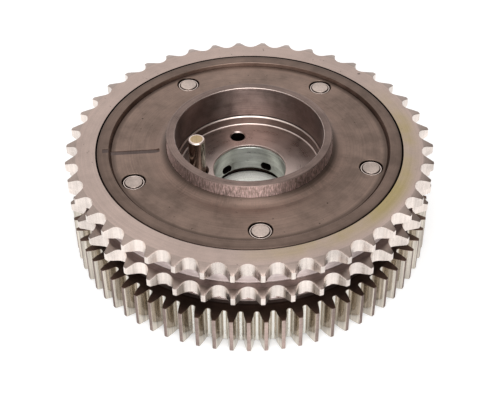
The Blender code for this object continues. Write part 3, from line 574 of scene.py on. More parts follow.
def screw_recess(angle):
    """A cutter for the screw's hole, and the ring and moat round its end."""
    centre = spot(SCREW_CIRCLE_R, angle)
    ring_height = COVER_FACE - RECESS_RING_DROP
    moat_height = COVER_FACE - MOAT_DROP
    profile = [
        (0.0, RECESS_CUT_FOOT), (3.25, RECESS_CUT_FOOT), (3.25, COVER_FACE - 0.55), (3.35, ring_height, 0.04),
        (RECESS_RING_R, ring_height, 0.05), (RECESS_RING_R + 0.08, moat_height), (MOAT_R, moat_height, 0.15),
        (MOAT_R, COVER_FACE - 0.15, 0.08), (4.45, COVER_FACE + 0.2), (4.45, RECESS_CUT_TOP),
        (0.0, RECESS_CUT_TOP),
    ]
    return turned("screw_hole", profile, SMALL_STEPS, (centre.x, centre.y), ring=False)


def mark_cutter(name, stretch, floor):
    start, end = stretch
    corners = [(start, -MARK_HALF), (end, -MARK_HALF), (end, MARK_HALF), (start, MARK_HALF)]
    cutter = prism(name, corners, floor, MARK_CUT_TOP)
    cutter.rotation_euler.z = MARK_ANGLE
    return cutter


def on_marks(centres):
    """Which faces of the rear cover lie in the timing mark."""
    along = centres[:, 0] * math.cos(MARK_ANGLE) + centres[:, 1] * math.sin(MARK_ANGLE)
    across = centres[:, 1] * math.cos(MARK_ANGLE) - centres[:, 0] * math.sin(MARK_ANGLE)
    heights = centres[:, 2]
    within = np.abs(across) < MARK_HALF + 0.02
    on_face = (along > FACE_MARK[0] - 0.1) & (along < FACE_MARK[1] + 0.05) & (heights < COVER_FACE - 0.07)
    sunk = (heights < RIM_TOP - 0.03) & (heights > RIM_TOP - 0.2)
    on_rim = (along > RIM_MARK[0] + 0.3) & (along < RIM_MARK[1] + 0.05) & sunk
    return within & (on_face | on_rim)


def build_rear_cover():
    fillet = []
    for share in np.linspace(0.0, 1.0, 9)[1:]:
        fillet.append((COLLAR_R + 0.4 + 4.6 * share, COVER_FACE + FILLET * (1 - share) ** 2))
    profile = [
        (COLLAR_BORE_R, COLLAR_TOP, 0.4), (COLLAR_R, COLLAR_TOP, 0.45),
        (COLLAR_R, COVER_FACE + 1.3, 0.25), (COLLAR_R + 0.4, COVER_FACE + FILLET, 0.15), *fillet,
        (RIM_R - 1.0, COVER_FACE, 0.15), (RIM_R - 0.4, COVER_FACE - 0.4, 0.15), (RIM_R, RIM_TOP, 0.22),
        (COVER_R, RIM_TOP, 0.6), (COVER_R, COVER_BOTTOM, 0.3), (COLLAR_BORE_R, COVER_BOTTOM, 0.3),
        (COLLAR_BORE_R, 32.0), (COLLAR_BORE_R, 39.0),
    ]
    cover = turned("rear_cover_fine", profile, COVER_STEPS)
    holes = [screw_recess(angle) for angle in SCREW_ANGLES]
    face_mark = mark_cutter("face_mark", FACE_MARK, COVER_FACE - 0.14)
    rim_mark = mark_cutter("rim_mark", RIM_MARK, RIM_TOP - 0.10)
    cut(cover, *holes, face_mark, rim_mark)

    def finishes(centres, normals):
        radius = radii(centres)
        heights = centres[:, 2]
        upright = np.abs(normals[:, 2]) < UPRIGHT
        slanted = (normals[:, 2] > 0.3) & (normals[:, 2] < 0.93)
        rim_foot = (radius > RIM_R - 0.75) & (radius < RIM_R - 0.3) & (heights < COVER_FACE - 0.15)
        rim_wall = upright & (radius > RIM_R - 0.4) & (radius < RIM_R + 0.05) & (heights > COVER_FACE)
        bore_edge = slanted & (radius < COLLAR_BORE_R + 0.35) & (heights > COLLAR_TOP - 0.4)
        # Painted shade at the rim's foot, on the cover's edge next to the ring and in the screw recesses, and
        # painted highlights on the rim's inner wall, the bore's edge and the rings round the screw ends
        pairs = [
            (radius > RIM_R - 0.9, RIM_STEEL),
            (rim_foot, RECESS_SHADE_STEEL),
            (rim_wall, RIM_WALL_LIT_STEEL),
            ((radius > COVER_R - 0.26) & (heights < RIM_TOP - 0.04), RECESS_SHADE_STEEL),
            ((radius < COLLAR_R + 0.2) & (heights > COVER_FACE + 1.0), COLLAR_STEEL),
            (heights > COLLAR_TOP - 0.25, COLLAR_TOP_STEEL),
            ((radius < COLLAR_BORE_R + 0.3) & (heights < COLLAR_TOP - 0.35), COLLAR_BORE_STEEL),
            (bore_edge, EDGE_HIGHLIGHT_STEEL),
        ]
        ring_top = np.abs(heights - (COVER_FACE - RECESS_RING_DROP - 0.01)) < 0.04
        for angle in SCREW_ANGLES:
            distance = distances(centres, spot(SCREW_CIRCLE_R, angle))
            on_ring = ring_top & (distance > 3.28) & (distance < RECESS_RING_R + 0.04)
            pairs.append(((distance < 4.4) & (heights < COVER_FACE - 0.05), RECESS_SHADE_STEEL))
            pairs.append((on_ring, EDGE_HIGHLIGHT_STEEL))
        pairs.append((on_marks(centres), MARK_STEEL))
        return pairs

    dress(cover, "rear_cover", "housing", COVER_STEEL, finishes)


def build_front_cover():
    profile = [
        (SPIGOT_R, FRONT_COVER_TOP, 0.3), (SPIGOT_R, FRONT_FLANGE_TOP, 0.2),
        (FRONT_COVER_R, FRONT_FLANGE_TOP, 0.2), (FRONT_COVER_R, 0.0, 0.4), (36.0, 0.0), (24.5, 0.0, 0.1),
        (24.2, 0.3, 0.1), (21.8, 0.3, 0.1), (21.5, 0.0, 0.1), (FRONT_COVER_BORE_R, 0.0, 0.4),
        (FRONT_COVER_BORE_R, FRONT_COVER_TOP, 0.3),
    ]
    cover = turned("front_cover_fine", profile)
    above = FRONT_COVER_TOP + 1
    heads = screw_drills(HEAD_POCKET_R, -1.0, HEAD_POCKET_TOP)
    pocket = drill("lock_pocket", LOCK_POCKET_R, LOCK_POCKET_FLOOR, above, LOCK_SEAT_PLACE)
    cut(cover, *screw_drills(SCREW_HOLE_R, -1.0, above), *heads, pocket)
    dress(cover, "front_cover", "housing", COVER_STEEL)


def build_screws():
    profile = [
        (0.0, SCREW_END), (2.0, SCREW_END), (SCREW_R, SCREW_END, 0.22), (SCREW_R, 34.0), (SCREW_R, 12.0),
        (SCREW_R, SCREW_HEAD_TOP, 0.3), (SCREW_HEAD_R, SCREW_HEAD_TOP, 0.2),
        (SCREW_HEAD_R, SCREW_HEAD_BOTTOM, 0.4), (0.0, SCREW_HEAD_BOTTOM),
    ]
    for number, angle in enumerate(SCREW_ANGLES, start=1):
        centre = spot(SCREW_CIRCLE_R, angle)
        screw = turned(f"cover_screw_{number}_fine", profile, SMALL_STEPS, (centre.x, centre.y), ring=False)
        hexagon = drill("socket", HEXAGON_R, -1.0, HEXAGON_TOP, (SCREW_CIRCLE_R, angle), steps=6)
        cut(screw, hexagon)
        dress(screw, f"cover_screw_{number}", "housing", SCREW_STEEL)


# Rotor and the pieces on it


def arc_points(radius, start, end):
    """Points at most 1.5 degrees apart."""
    count = max(2, math.ceil(abs(end - start) / 1.5) + 1)
    return [spot(radius, angle).xy[:] for angle in np.linspace(start, end, count)]


def rotor_outline():
    """The hub and five vanes, each with a slot for its seal, anticlockwise."""
    points = []
    slot_half_angle = math.degrees(SEAL_SLOT_HALF / VANE_R)
    slot_floor = VANE_R - SEAL_SLOT_DEPTH
    for index, (centre, half, seal_offset) in enumerate(VANES):
        seal = centre + seal_offset
        outwards = Vector((math.cos(math.radians(seal)), math.sin(math.radians(seal))))
        across = Vector((-outwards.y, outwards.x))
        points += arc_points(VANE_R, centre - half, seal - slot_half_angle)
        points.append((outwards * slot_floor - across * SEAL_SLOT_HALF)[:])
        points.append((outwards * slot_floor + across * SEAL_SLOT_HALF)[:])
        points += arc_points(VANE_R, seal + slot_half_angle, centre + half)
        next_centre, next_half, _ = VANES[(index + 1) % len(VANES)]
        next_start = next_centre - next_half
        if next_start < centre:
            next_start += 360.0
        points += arc_points(HUB_R, centre + half, next_start)
    return np.array(points)


def blind_hole(name, radius, chamfer, bottom, where):
    """A cutter for a round hole with a chamfered mouth in the hub's face."""
    centre = spot(*where)
    profile = [
        (0.0, HUB_FACE + 1), (radius + chamfer + 0.02, HUB_FACE + 1), (radius + chamfer, HUB_FACE + 0.01),
        (radius, HUB_FACE - chamfer, 0.08), (radius, bottom), (0.0, bottom),
    ]
    return turned(name, profile, SMALL_STEPS, (centre.x, centre.y), ring=False)


def oil_passage(angle):
    """A cutter for a round passage outwards from the rotor's bore."""
    profile = [(0.0, 0.0), (PASSAGE_R, 0.0), (PASSAGE_R, PASSAGE_LENGTH), (0.0, PASSAGE_LENGTH)]
    tool = turned("passage", profile, PASSAGE_STEPS, ring=False)
    spin = Matrix.Rotation(math.radians(angle), 4, "Z") @ Matrix.Rotation(math.pi / 2, 4, "Y")
    level = Matrix.Translation(Vector((0, 0, PORT_LEVEL * MM)))
    tool.matrix_world = level @ spin @ Matrix.Translation(Vector((0, 0, BORE_R * MM)))
    return tool


def build_rotor():
    rotor = prism("rotor_fine", rotor_outline(), ROTOR_BOTTOM, ROTOR_TOP)
    above = ROTOR_TOP + 1
    below = ROTOR_BOTTOM - 1
    hub = turned("hub", [
        (0.0, above), (HUB_RECESS_R + 0.42, above), (HUB_RECESS_R + 0.4, ROTOR_TOP + 0.01),
        (HUB_RECESS_R, ROTOR_TOP - 0.4, 0.12), (HUB_RECESS_R, HUB_FACE, 0.6), (LIP_R, HUB_FACE, 0.3),
        (LIP_R, LIP_UNDERSIDE, 0.1), (BORE_R, LIP_UNDERSIDE), (BORE_R, OIL_GROOVE[1]),
        (OIL_GROOVE_R, OIL_GROOVE[1]), (OIL_GROOVE_R, OIL_GROOVE[0]), (BORE_R, OIL_GROOVE[0]),
        (BORE_R, below), (0.0, below),
    ], HUB_STEPS, ring=False)
    lock_centre = spot(*LOCK_PLACE)
    lock = turned("lock_bore", [
        (0.0, above), (LOCK_BORE_R, above), (LOCK_BORE_R, LOCK_STEP), (LOCK_NOSE_R, LOCK_STEP),
        (LOCK_NOSE_R, below), (0.0, below),
    ], SMALL_STEPS, (lock_centre.x, lock_centre.y), ring=False)
    passages = [oil_passage(centre + half + 3.5) for centre, half, _ in VANES]
    dowel_hole = blind_hole("dowel_hole", DOWEL_R + 0.3, 0.7, HUB_FACE - 5.9, DOWEL_PLACE)
    oil_hole = blind_hole("oil_hole", OIL_R, 0.4, HUB_FACE - 6.2, OIL_PLACE)
    cut(rotor, hub, lock, *passages, dowel_hole, oil_hole)

    def finishes(centres, normals):
        radius = radii(centres)
        heights = centres[:, 2]
        rise = np.abs(normals[:, 2])
        rounded_edge = (radius > HUB_RECESS_R - 0.7) & (radius < HUB_RECESS_R + 0.45) & (rise > 0.25)
        wall = (radius > HUB_RECESS_R - 0.1) & (rise < 0.25) & (heights > HUB_FACE + 0.4)
        # Painted shade in the holes, the bore, the vanes and the faces below the hub, painted highlights on
        # the holes' chamfers and the recess's rounded edge, and painted shade on the recess wall
        pairs = []
        for where, reach in ((OIL_PLACE, OIL_R + 0.1), (DOWEL_PLACE, DOWEL_R + 0.4)):
            near = distances(centres, spot(*where)) < reach
            pairs.append((near & (heights < HUB_FACE - 0.45), DEPTH_SHADE_STEEL))
            pairs.append((near & (heights < HUB_FACE - 0.05) & (heights > HUB_FACE - 0.45), EDGE_HIGHLIGHT_STEEL))
        return pairs + [
            ((radius < OIL_GROOVE_R + 1.0) & (heights < LIP_UNDERSIDE - 0.1), DEPTH_SHADE_STEEL),
            (rounded_edge, EDGE_HIGHLIGHT_STEEL),
            (wall, HUB_WALL_SHADE_STEEL),
            ((radius > HUB_RECESS_R + 0.45) | (heights < HUB_FACE - 0.9), DEPTH_SHADE_STEEL),
        ]

    dress(rotor, "rotor", "rotor", ROTOR_STEEL, finishes)


def build_dowel():
    centre = spot(*DOWEL_PLACE)
    top = HUB_FACE + DOWEL_RISE
    foot = HUB_FACE - 5.6
    end_r = 2.2
    profile = [
        (0.0, top), (end_r, top), (2.65, top - 0.02, 0.10), (DOWEL_R, top - 0.40, 0.15), (DOWEL_R, 30.0),
        (DOWEL_R, HUB_FACE - 5.1, 0.15), (2.5, foot, 0.15), (0.0, foot),
    ]
    pin = turned("dowel_pin_fine", profile, SMALL_STEPS, (centre.x, centre.y), ring=False)

    def finishes(centres, normals):
        distance = distances(centres, centre)
        # A painted highlight on the chamfer round the end
        return [
            ((distance < end_r) & (centres[:, 2] > top - 0.1), PIN_END_STEEL),
            ((distance > end_r) & (normals[:, 2] > 0.3), EDGE_HIGHLIGHT_STEEL),
        ]

    dress(pin, "dowel_pin", "rotor", PIN_STEEL, finishes)


def port_cutter(angle):
    """An obround block that passes through the sleeve's wall."""
    outline = []
    for side in (1, -1):
        for turn in np.linspace(-math.pi / 2, math.pi / 2, 13):
            x = side * (PORT_HALF_STRAIGHT + PORT_HALF_HEIGHT * math.cos(turn))
            outline.append((x, side * PORT_HALF_HEIGHT * math.sin(turn)))
    tool = prism("port", outline, -PORT_CUT_HALF, PORT_CUT_HALF)
    tool.matrix_world = (
        Matrix.Translation(place(PORT_CUT_R, angle, PORT_LEVEL))
        @ Matrix.Rotation(math.radians(angle) - math.pi / 2, 4, "Z")
        @ Matrix.Rotation(math.pi / 2, 4, "X")
    )
    return tool


def build_sleeve():
    profile = [
        (SLEEVE_R, SLEEVE_TOP, 0.2), (SLEEVE_R, SLEEVE_BOTTOM, 0.2), (12.2, SLEEVE_BOTTOM, 0.15),
        (SLEEVE_BORE_R, SLEEVE_BOTTOM + 3.0, 0.3), (SLEEVE_BORE_R, SLEEVE_TOP, 0.25),
    ]
    sleeve = turned("centre_sleeve_fine", profile)
    cut(sleeve, *[port_cutter(PORT_ANGLE + 360.0 / PORT_COUNT * index) for index in range(PORT_COUNT)])

    def finishes(centres, normals):
        radius = radii(centres)
        facing = np.abs((centres[:, :2] * normals[:, :2]).sum(axis=1)) / radius
        level = np.abs(centres[:, 2] - PORT_LEVEL) < PORT_HALF_HEIGHT + 0.03
        # Painted shade in the ports and on the sleeve's outer face
        return [
            (level & (radius > 12.35) & (radius < 14.1) & (facing < 0.7), DEPTH_SHADE_STEEL),
            (radius > SLEEVE_R - 0.2, DEPTH_SHADE_STEEL),
        ]

    dress(sleeve, "centre_sleeve", "rotor", SLEEVE_PLATING, finishes)


def build_bush():
    profile = [
        (SLEEVE_R, BUSH_TOP, 0.2), (SLEEVE_R, BUSH_BOTTOM, 0.2), (BUSH_BORE_R, BUSH_BOTTOM, 0.3),
        (BUSH_BORE_R, BUSH_TOP, 0.5),
    ]
    bush = turned("centre_bush_fine", profile)
    dress(bush, "centre_bush", "rotor", BUSH_PLATING)


def build_lock_spring():
    """Round wire wound in a coil.

    Its upper end stays under the plug."""
    centre = spot(*LOCK_PLACE)
    low, high = SPRING_ENDS
    rise = high - low - 2 * SPRING_WIRE_R
    slope = math.atan2(rise, 2 * math.pi * SPRING_COIL_R * SPRING_TURNS)
    around = np.arange(12) * math.pi / 6
    stations = [(0.0, 0.0)] + [(share, SPRING_WIRE_R) for share in np.linspace(0, 1, 193)] + [(1.0, 0.0)]
    loops = []
    for share, wire in stations:
        turn = 2 * math.pi * SPRING_TURNS * share
        out = np.array([math.cos(turn), math.sin(turn), 0.0])
        up = np.array([math.sin(turn) * math.sin(slope), -math.cos(turn) * math.sin(slope), math.cos(slope)])
        middle = np.array([centre.x, centre.y, low + SPRING_WIRE_R + rise * share]) + SPRING_COIL_R * out
        loops.append(middle + wire * (np.outer(np.cos(around), up) + np.outer(np.sin(around), out)))
    spring = joined_loops("lock_spring_fine", loops, ring=False)
    dress(spring, "lock_spring", "rotor", SPRING_STEEL)
    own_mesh(spring)


# Materials

# How the noise of the cutter marks is stretched, in waves a metre along each axis
TURNED_ACROSS = 2400.0
TURNED_ALONG = 30.0
STRAIGHT_LAYS = {"upright": (1500.0, 1500.0, 50.0), "banded": (55.0, 55.0, 2400.0)}

# Waves a metre of the other noises
STAIN_SCALE = 36.0
BLOTCH_SCALE = 190.0
GRAIN_SCALE = 2300.0
SPECK_SCALE = 640.0
SPECK_FIELD_SCALE = 55.0

# Hatching round the collar: strokes round the axis, their drift, and the radii where it has ended and is full
HATCH_STROKES = 95.0
HATCH_DRIFT = (420.0, 520.0)
HATCH_END_R = 0.0375
HATCH_FULL_R = 0.0305

SPECK_COLOUR = (0.025, 0.018, 0.015)
# How dark a ring of painted shade makes a colour
PAINTED_SHADE_SHARE = 0.25
SIDE_PATCH_FADE = 0.0036
BUMP_DISTANCE = 0.0001
BUMP_STRENGTH = 0.35
QUARTER_TURN = 0.25


def add(tree, kind, *links, **values):
    """Adds a node. Links are (input, socket) pairs, and the other values are its settings."""
    node = tree.nodes.new("ShaderNode" + kind)
    for key, value in values.items():
        setattr(node, key, value)
    for name, value in links:
        if isinstance(value, bpy.types.NodeSocket):
            tree.links.new(value, node.inputs[name])
        else:
            node.inputs[name].default_value = value
    return node


def maths(tree, operation, first, second=0.0):
    return add(tree, "Math", (0, first), (1, second), operation=operation).outputs[0]


def product(tree, first, second):
    return maths(tree, "MULTIPLY", first, second)


def weighted(tree, first, first_share, second, second_share):
    return maths(tree, "ADD", product(tree, first, first_share), product(tree, second, second_share))


def vector_maths(tree, operation, *values):
    pairs = list(enumerate(values))
    return add(tree, "VectorMath", *pairs, operation=operation).outputs["Vector"]


def ranged(tree, value, low, high, to_low=0.0, to_high=1.0):
    """Maps low to high onto to_low to to_high, and stops at both ends."""
    node = add(tree, "MapRange", ("Value", value), ("From Min", low), ("From Max", high))
    node.inputs["To Min"].default_value = to_low
    node.inputs["To Max"].default_value = to_high
    return node.outputs["Result"]


def mixed(tree, share, first, second, blend="MIX"):
    node = add(tree, "Mix", data_type="RGBA", blend_type=blend)
    for name, value in (("Factor_Float", share), ("A_Color", first), ("B_Color", second)):
        socket = next(one for one in node.inputs if one.identifier == name)
        if isinstance(value, bpy.types.NodeSocket):
            tree.links.new(value, socket)
        else:
            socket.default_value = value if name == "Factor_Float" else (*value, 1.0)
    return next(one for one in node.outputs if one.identifier == "Result_Color")


def noise(tree, vector, scale, detail=3.0, roughness=0.55):
    settings = (("Vector", vector), ("Scale", scale), ("Detail", detail), ("Roughness", roughness))
    return add(tree, "TexNoise", *settings).outputs["Fac"]


def scaled(colour, share):
    return tuple(min(1.0, channel * share) for channel in colour)


def hatched(tree, shade, colour, at, radius, height):
    """Short strokes of another colour round the foot of the collar."""
    around = vector_maths(tree, "MULTIPLY", at, (1.0, 1.0, 0.0))
    around = vector_maths(tree, "NORMALIZE", around)
    drift = weighted(tree, radius, HATCH_DRIFT[0], height, HATCH_DRIFT[1])
    twist = add(tree, "CombineXYZ", ("Z", drift)).outputs[0]
    stroke_at = vector_maths(tree, "MULTIPLY", around, (HATCH_STROKES, HATCH_STROKES, 0.0))
    stroke_at = vector_maths(tree, "ADD", stroke_at, twist)
    strokes = ranged(tree, noise(tree, stroke_at, 1.0, 3.0, 0.7), 0.44, 0.62)
    near_collar = ranged(tree, radius, HATCH_END_R, HATCH_FULL_R)
    return mixed(tree, product(tree, strokes, near_collar), shade, colour)


def side_patched(tree, shade, side_patch, at, radius, patches):
    """Patches of another colour that grow towards one side and end at a radius."""
    side = add(tree, "VectorMath", (0, at), (1, side_patch["towards"]), operation="DOT_PRODUCT").outputs["Value"]
    patch = product(tree, ranged(tree, side, side_patch["starts"], side_patch["full"]), ranged(tree, patches, 0.34, 0.58))
    patch = product(tree, patch, ranged(tree, radius, side_patch["outer_r"], side_patch["outer_r"] - SIDE_PATCH_FADE))
    return mixed(tree, product(tree, patch, side_patch["strength"]), shade, side_patch["colour"])


def speckled(tree, shade, strength, at):
    """Small dark specks that gather in fields."""
    dots = ranged(tree, noise(tree, at, SPECK_SCALE, 1.0), 0.725, 0.765)
    field = ranged(tree, noise(tree, at, SPECK_FIELD_SCALE, 1.0), 0.46, 0.64)
    return mixed(tree, product(tree, product(tree, dots, field), strength), shade, SPECK_COLOUR)


def cutter_lines(tree, lay, at, x, y, radius):
    """Noise drawn out along the lay. Turned and banded marks run round the axis, and upright ones upwards."""
    if lay == "turned":
        across = product(tree, radius, TURNED_ACROSS)
        along = (("Y", product(tree, x, TURNED_ALONG)), ("Z", product(tree, y, TURNED_ALONG)))
        lay_at = add(tree, "CombineXYZ", ("X", across), *along).outputs[0]
    else:
        lay_at = vector_maths(tree, "MULTIPLY", at, STRAIGHT_LAYS[lay])
    return noise(tree, lay_at, 1.0, 2.0)


def machined(name, colour, roughness, lay="turned", marks=0.14, tone=0.24, lean=0.0, specks=0.0, side_patch=None,
             hatch=None, painted_shade_rings=(), metallic=1.0, grain=0.05, gloss_spread=0.07):
    """A metal with cutter marks along its lay, soft stains, specks and uneven gloss.

    marks, tone, specks and grain are strengths, and lean is how far the grooves draw the gloss out. Each of
    the painted shade rings is a ring of painted shade: its radius where it is darkest, where it ends, and its
    strength."""
    material = bpy.data.materials.new(name)
    material.use_nodes = True
    tree = material.node_tree
    shader = tree.nodes["Principled BSDF"]
    at = add(tree, "TexCoord").outputs["Object"]
    x, y, z = add(tree, "SeparateXYZ", ("Vector", at)).outputs
    radius = maths(tree, "SQRT", weighted(tree, x, x, y, y))
    lines = cutter_lines(tree, lay, at, x, y, radius)
    wide = noise(tree, at, STAIN_SCALE, 4.0, 0.62)
    small = noise(tree, at, BLOTCH_SCALE, 4.0, 0.62)
    fine = noise(tree, at, GRAIN_SCALE, 2.0)

    stain = weighted(tree, wide, 0.62, small, 0.38)
    shade = mixed(tree, ranged(tree, stain, 0.40, 0.50), scaled(colour, 1.0 - tone), colour)
    shade = mixed(tree, ranged(tree, stain, 0.51, 0.61), shade, scaled(colour, 1.0 + tone * 0.8))
    if hatch is not None:
        shade = hatched(tree, shade, hatch, at, radius, z)
    if side_patch is not None:
        shade = side_patched(tree, shade, side_patch, at, radius, wide)
    # Painted shade: each ring darkens the colour towards its darkest radius
    for darkest, clear, strength in painted_shade_rings:
        amount = product(tree, ranged(tree, radius, clear, darkest), strength)
        shade = mixed(tree, amount, shade, scaled(colour, PAINTED_SHADE_SHARE))
    if specks:
        shade = speckled(tree, shade, specks, at)
    line_shade = ranged(tree, lines, 0.28, 0.72, 1.0 - marks, 1.0 + marks * 0.7)
    grain_shade = ranged(tree, fine, 0.3, 0.7, 1.0 - grain, 1.0 + grain)
    both = product(tree, line_shade, grain_shade)
    grey = add(tree, "CombineColor", (0, both), (1, both), (2, both)).outputs[0]
    tree.links.new(mixed(tree, 1.0, shade, grey, "MULTIPLY"), shader.inputs["Base Color"])

    gloss = weighted(tree, lines, 0.4, small, 0.6)
    rough = ranged(tree, gloss, 0.35, 0.65, roughness - gloss_spread, roughness + gloss_spread)
    tree.links.new(rough, shader.inputs["Roughness"])
    height = weighted(tree, lines, marks, fine, grain)
    bump = add(tree, "Bump", ("Height", height), ("Strength", BUMP_STRENGTH), ("Distance", BUMP_DISTANCE))
    tree.links.new(bump.outputs["Normal"], shader.inputs["Normal"])
    shader.inputs["Metallic"].default_value = metallic
    if lean:
        shader.inputs["Anisotropic"].default_value = lean
        shader.inputs["Anisotropic Rotation"].default_value = QUARTER_TURN
        tangent = add(tree, "Tangent", direction_type="RADIAL", axis="Z")
        tree.links.new(tangent.outputs["Tangent"], shader.inputs["Tangent"])
    return material


ROSE = (0.78, 0.57, 0.53)
BRONZE = (0.30, 0.200, 0.165)
# Olive patches on the ring, growing towards one side and ending at a radius
OLIVE_SIDE_PATCH = {
    "colour": (0.45, 0.358, 0.172), "towards": (0.88, -0.47, 0.0), "starts": 0.021, "full": 0.046,
    "outer_r": 0.0606, "strength": 0.92,
}
# Rings of painted shade: round the collar's foot and inside the rim of the cover, and on the rim's outer edge
COVER_PAINTED_SHADE_RINGS = ((0.0300, 0.0318, 0.75), (0.0480, 0.0471, 0.60))
RIM_PAINTED_SHADE_RINGS = ((0.0539, 0.0520, 0.40),)

# Sprocket housing
RING_STEEL = machined("ring_steel", (0.545, 0.426, 0.378), 0.38, marks=0.08, tone=0.10, lean=0.15, specks=0.7,
                      side_patch=OLIVE_SIDE_PATCH)
TOOTH_SIDE_STEEL = machined("tooth_side_steel", (0.44, 0.350, 0.310), 0.38, marks=0.08, tone=0.16)
TOOTH_STEEL = machined("tooth_steel", (0.76, 0.68, 0.63), 0.30, lay="upright", tone=0.20)
# Painted shade: darker copies of the tooth side and ring steel for the lower row's sides and for the faces
# between and under the rows
LOWER_SIDE_SHADE_STEEL = machined("lower_side_shade_steel", (0.32, 0.255, 0.226), 0.38, marks=0.08, tone=0.16)
SHADED_STEEL = machined("shaded_steel", (0.245, 0.194, 0.177), 0.38, tone=0.26, lean=0.5)
# Painted light: pale copies of the ring steel on the groove wall between the rows and on the flange wall
# under the lower row
GROOVE_LIT_STEEL = machined("groove_lit_steel", (0.88, 0.75, 0.73), 0.40, lay="banded", tone=0.16, metallic=0.4)
FLANGE_LIT_STEEL = machined("flange_lit_steel", (0.97, 0.84, 0.81), 0.22, lay="banded", tone=0.06)

# Gear
GEAR_FLANK = machined("gear_flank", (0.59, 0.540, 0.475), 0.12, lay="upright", marks=0.34, tone=0.08,
                      gloss_spread=0.03)
# A painted highlight: a pale copy of the flank steel in the roots of the teeth
GEAR_ROOT_HIGHLIGHT = machined("gear_root_highlight", (0.90, 0.89, 0.84), 0.30, lay="upright", marks=0.12, tone=0.04,
                     metallic=0.6)
GEAR_FACE = machined("gear_face", (0.15, 0.100, 0.078), 0.42, tone=0.20)
GEAR_TIP = machined("gear_tip", (0.46, 0.36, 0.325), 0.60, lay="banded", tone=0.26, lean=0.95, grain=0.14)

# Covers and screws
COVER_STEEL = machined("cover_steel", (0.270, 0.191, 0.156), 0.38, tone=0.28, lean=0.5, specks=0.9,
                       hatch=BRONZE, painted_shade_rings=COVER_PAINTED_SHADE_RINGS)
RIM_STEEL = machined("rim_steel", (0.200, 0.141, 0.115), 0.36, tone=0.26, lean=0.5, specks=0.4,
                     painted_shade_rings=RIM_PAINTED_SHADE_RINGS)
# A painted highlight: a paler copy of the rim steel on the rim's inner wall
RIM_WALL_LIT_STEEL = machined("rim_wall_lit_steel", (0.36, 0.26, 0.215), 0.36, tone=0.20)
COLLAR_STEEL = machined("collar_steel", (0.34, 0.245, 0.215), 0.56, marks=0.2, tone=0.26, lean=0.95,
                        hatch=ROSE)
COLLAR_TOP_STEEL = machined("collar_top_steel", (0.255, 0.185, 0.162), 0.34, marks=0.22, tone=0.26, lean=0.5)
COLLAR_BORE_STEEL = machined("collar_bore_steel", (0.315, 0.243, 0.222), 0.36, lay="banded", tone=0.30,
                             lean=0.9)
MARK_STEEL = machined("mark_steel", (0.125, 0.092, 0.084), 0.40, tone=0.30)
# Painted shade in the screw recesses, at the rim's foot and on the cover's edge next to the ring
RECESS_SHADE_STEEL = machined("recess_shade_steel", (0.085, 0.058, 0.048), 0.42, tone=0.30)
SCREW_STEEL = machined("screw_steel", (0.58, 0.48, 0.43), 0.36, lay="upright", tone=0.24)

# Rotor and the pieces on it
ROTOR_STEEL = machined("rotor_steel", (0.58, 0.463, 0.424), 0.32, marks=0.08, tone=0.18, lean=0.15)
# Painted shade: a darker copy of the rotor steel on the wall of the hub's recess
HUB_WALL_SHADE_STEEL = machined("hub_wall_shade_steel", (0.21, 0.165, 0.148), 0.34, lay="banded", tone=0.20, lean=0.7)
PIN_STEEL = machined("pin_steel", (0.46, 0.38, 0.32), 0.13, lay="banded", marks=0.06, gloss_spread=0.03)
PIN_END_STEEL = machined("pin_end_steel", (0.52, 0.38, 0.22), 0.36, tone=0.24)
SPRING_STEEL = machined("spring_steel", (0.40, 0.40, 0.42), 0.30, lay="banded")
SLEEVE_PLATING = machined("sleeve_plating", (0.80, 0.82, 0.77), 0.34, lay="banded", tone=0.14, lean=0.9)
BUSH_PLATING = machined("bush_plating", (0.98, 0.97, 0.91), 0.42, tone=0.10, metallic=0.2, grain=0.14)
SEAL_RESIN = machined("seal_resin", (0.09, 0.08, 0.07), 0.55, lay="upright", metallic=0.0, grain=0.10)

# Painted highlights on edges and painted shade in the depths of several pieces
# Painted highlights on rounded edges and chamfers, and on the rings round the screw ends
EDGE_HIGHLIGHT_STEEL = machined("edge_highlight_steel", (0.86, 0.72, 0.66), 0.34, lay="banded", tone=0.14)
# Painted shade in holes, ports, bores and faces hidden inside
DEPTH_SHADE_STEEL = machined("depth_shade_steel", (0.040, 0.028, 0.024), 0.45)


def dress_hidden_nodes():
    """The pieces inside keep their CAD mesh and get their own finishes."""
    finishes = {
        "vane_seal": SEAL_RESIN, "seal_spring": SPRING_STEEL,
        "lock_plug": COVER_STEEL, "lock_pin": PIN_STEEL, "lock_seat_bush": PIN_STEEL,
    }
    for name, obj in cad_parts.items():
        for start, material in finishes.items():
            if name.startswith(start):
                obj.data.materials.clear()
                obj.data.materials.append(material)


# Stage, light and camera

FLOOR_REACH = 3
FLOOR_DROP = 0.0002
FLOOR_GREY = (0.66, 0.66, 0.66, 1.0)
FLOOR_GLOW = 0.50
# Radius of the painted shadow under the object, and where it has faded out
PAINTED_SHADOW_R = 0.056
PAINTED_SHADOW_FADE_R = 0.063
WHITE = (1.0, 1.0, 1.0)
SKY = (0.86, 0.85, 0.84)
STUDIO_WINGS = (0.12, 0.11, 0.10)
LIT_POINT = (0, 0, 0.03)

# The pinhole camera that was fitted to the photograph: pixels, millimetres and radians
PHOTO_WIDTH = 501
FOCAL_PIXELS = 1136.72
SENSOR_WIDTH = 36.0
CAMERA_PLACE = (0.00822, -313.838, 288.781)
CAMERA_PITCH = 0.7263
CAMERA_YAW = -0.00067
CAMERA_ROLL = -0.00904


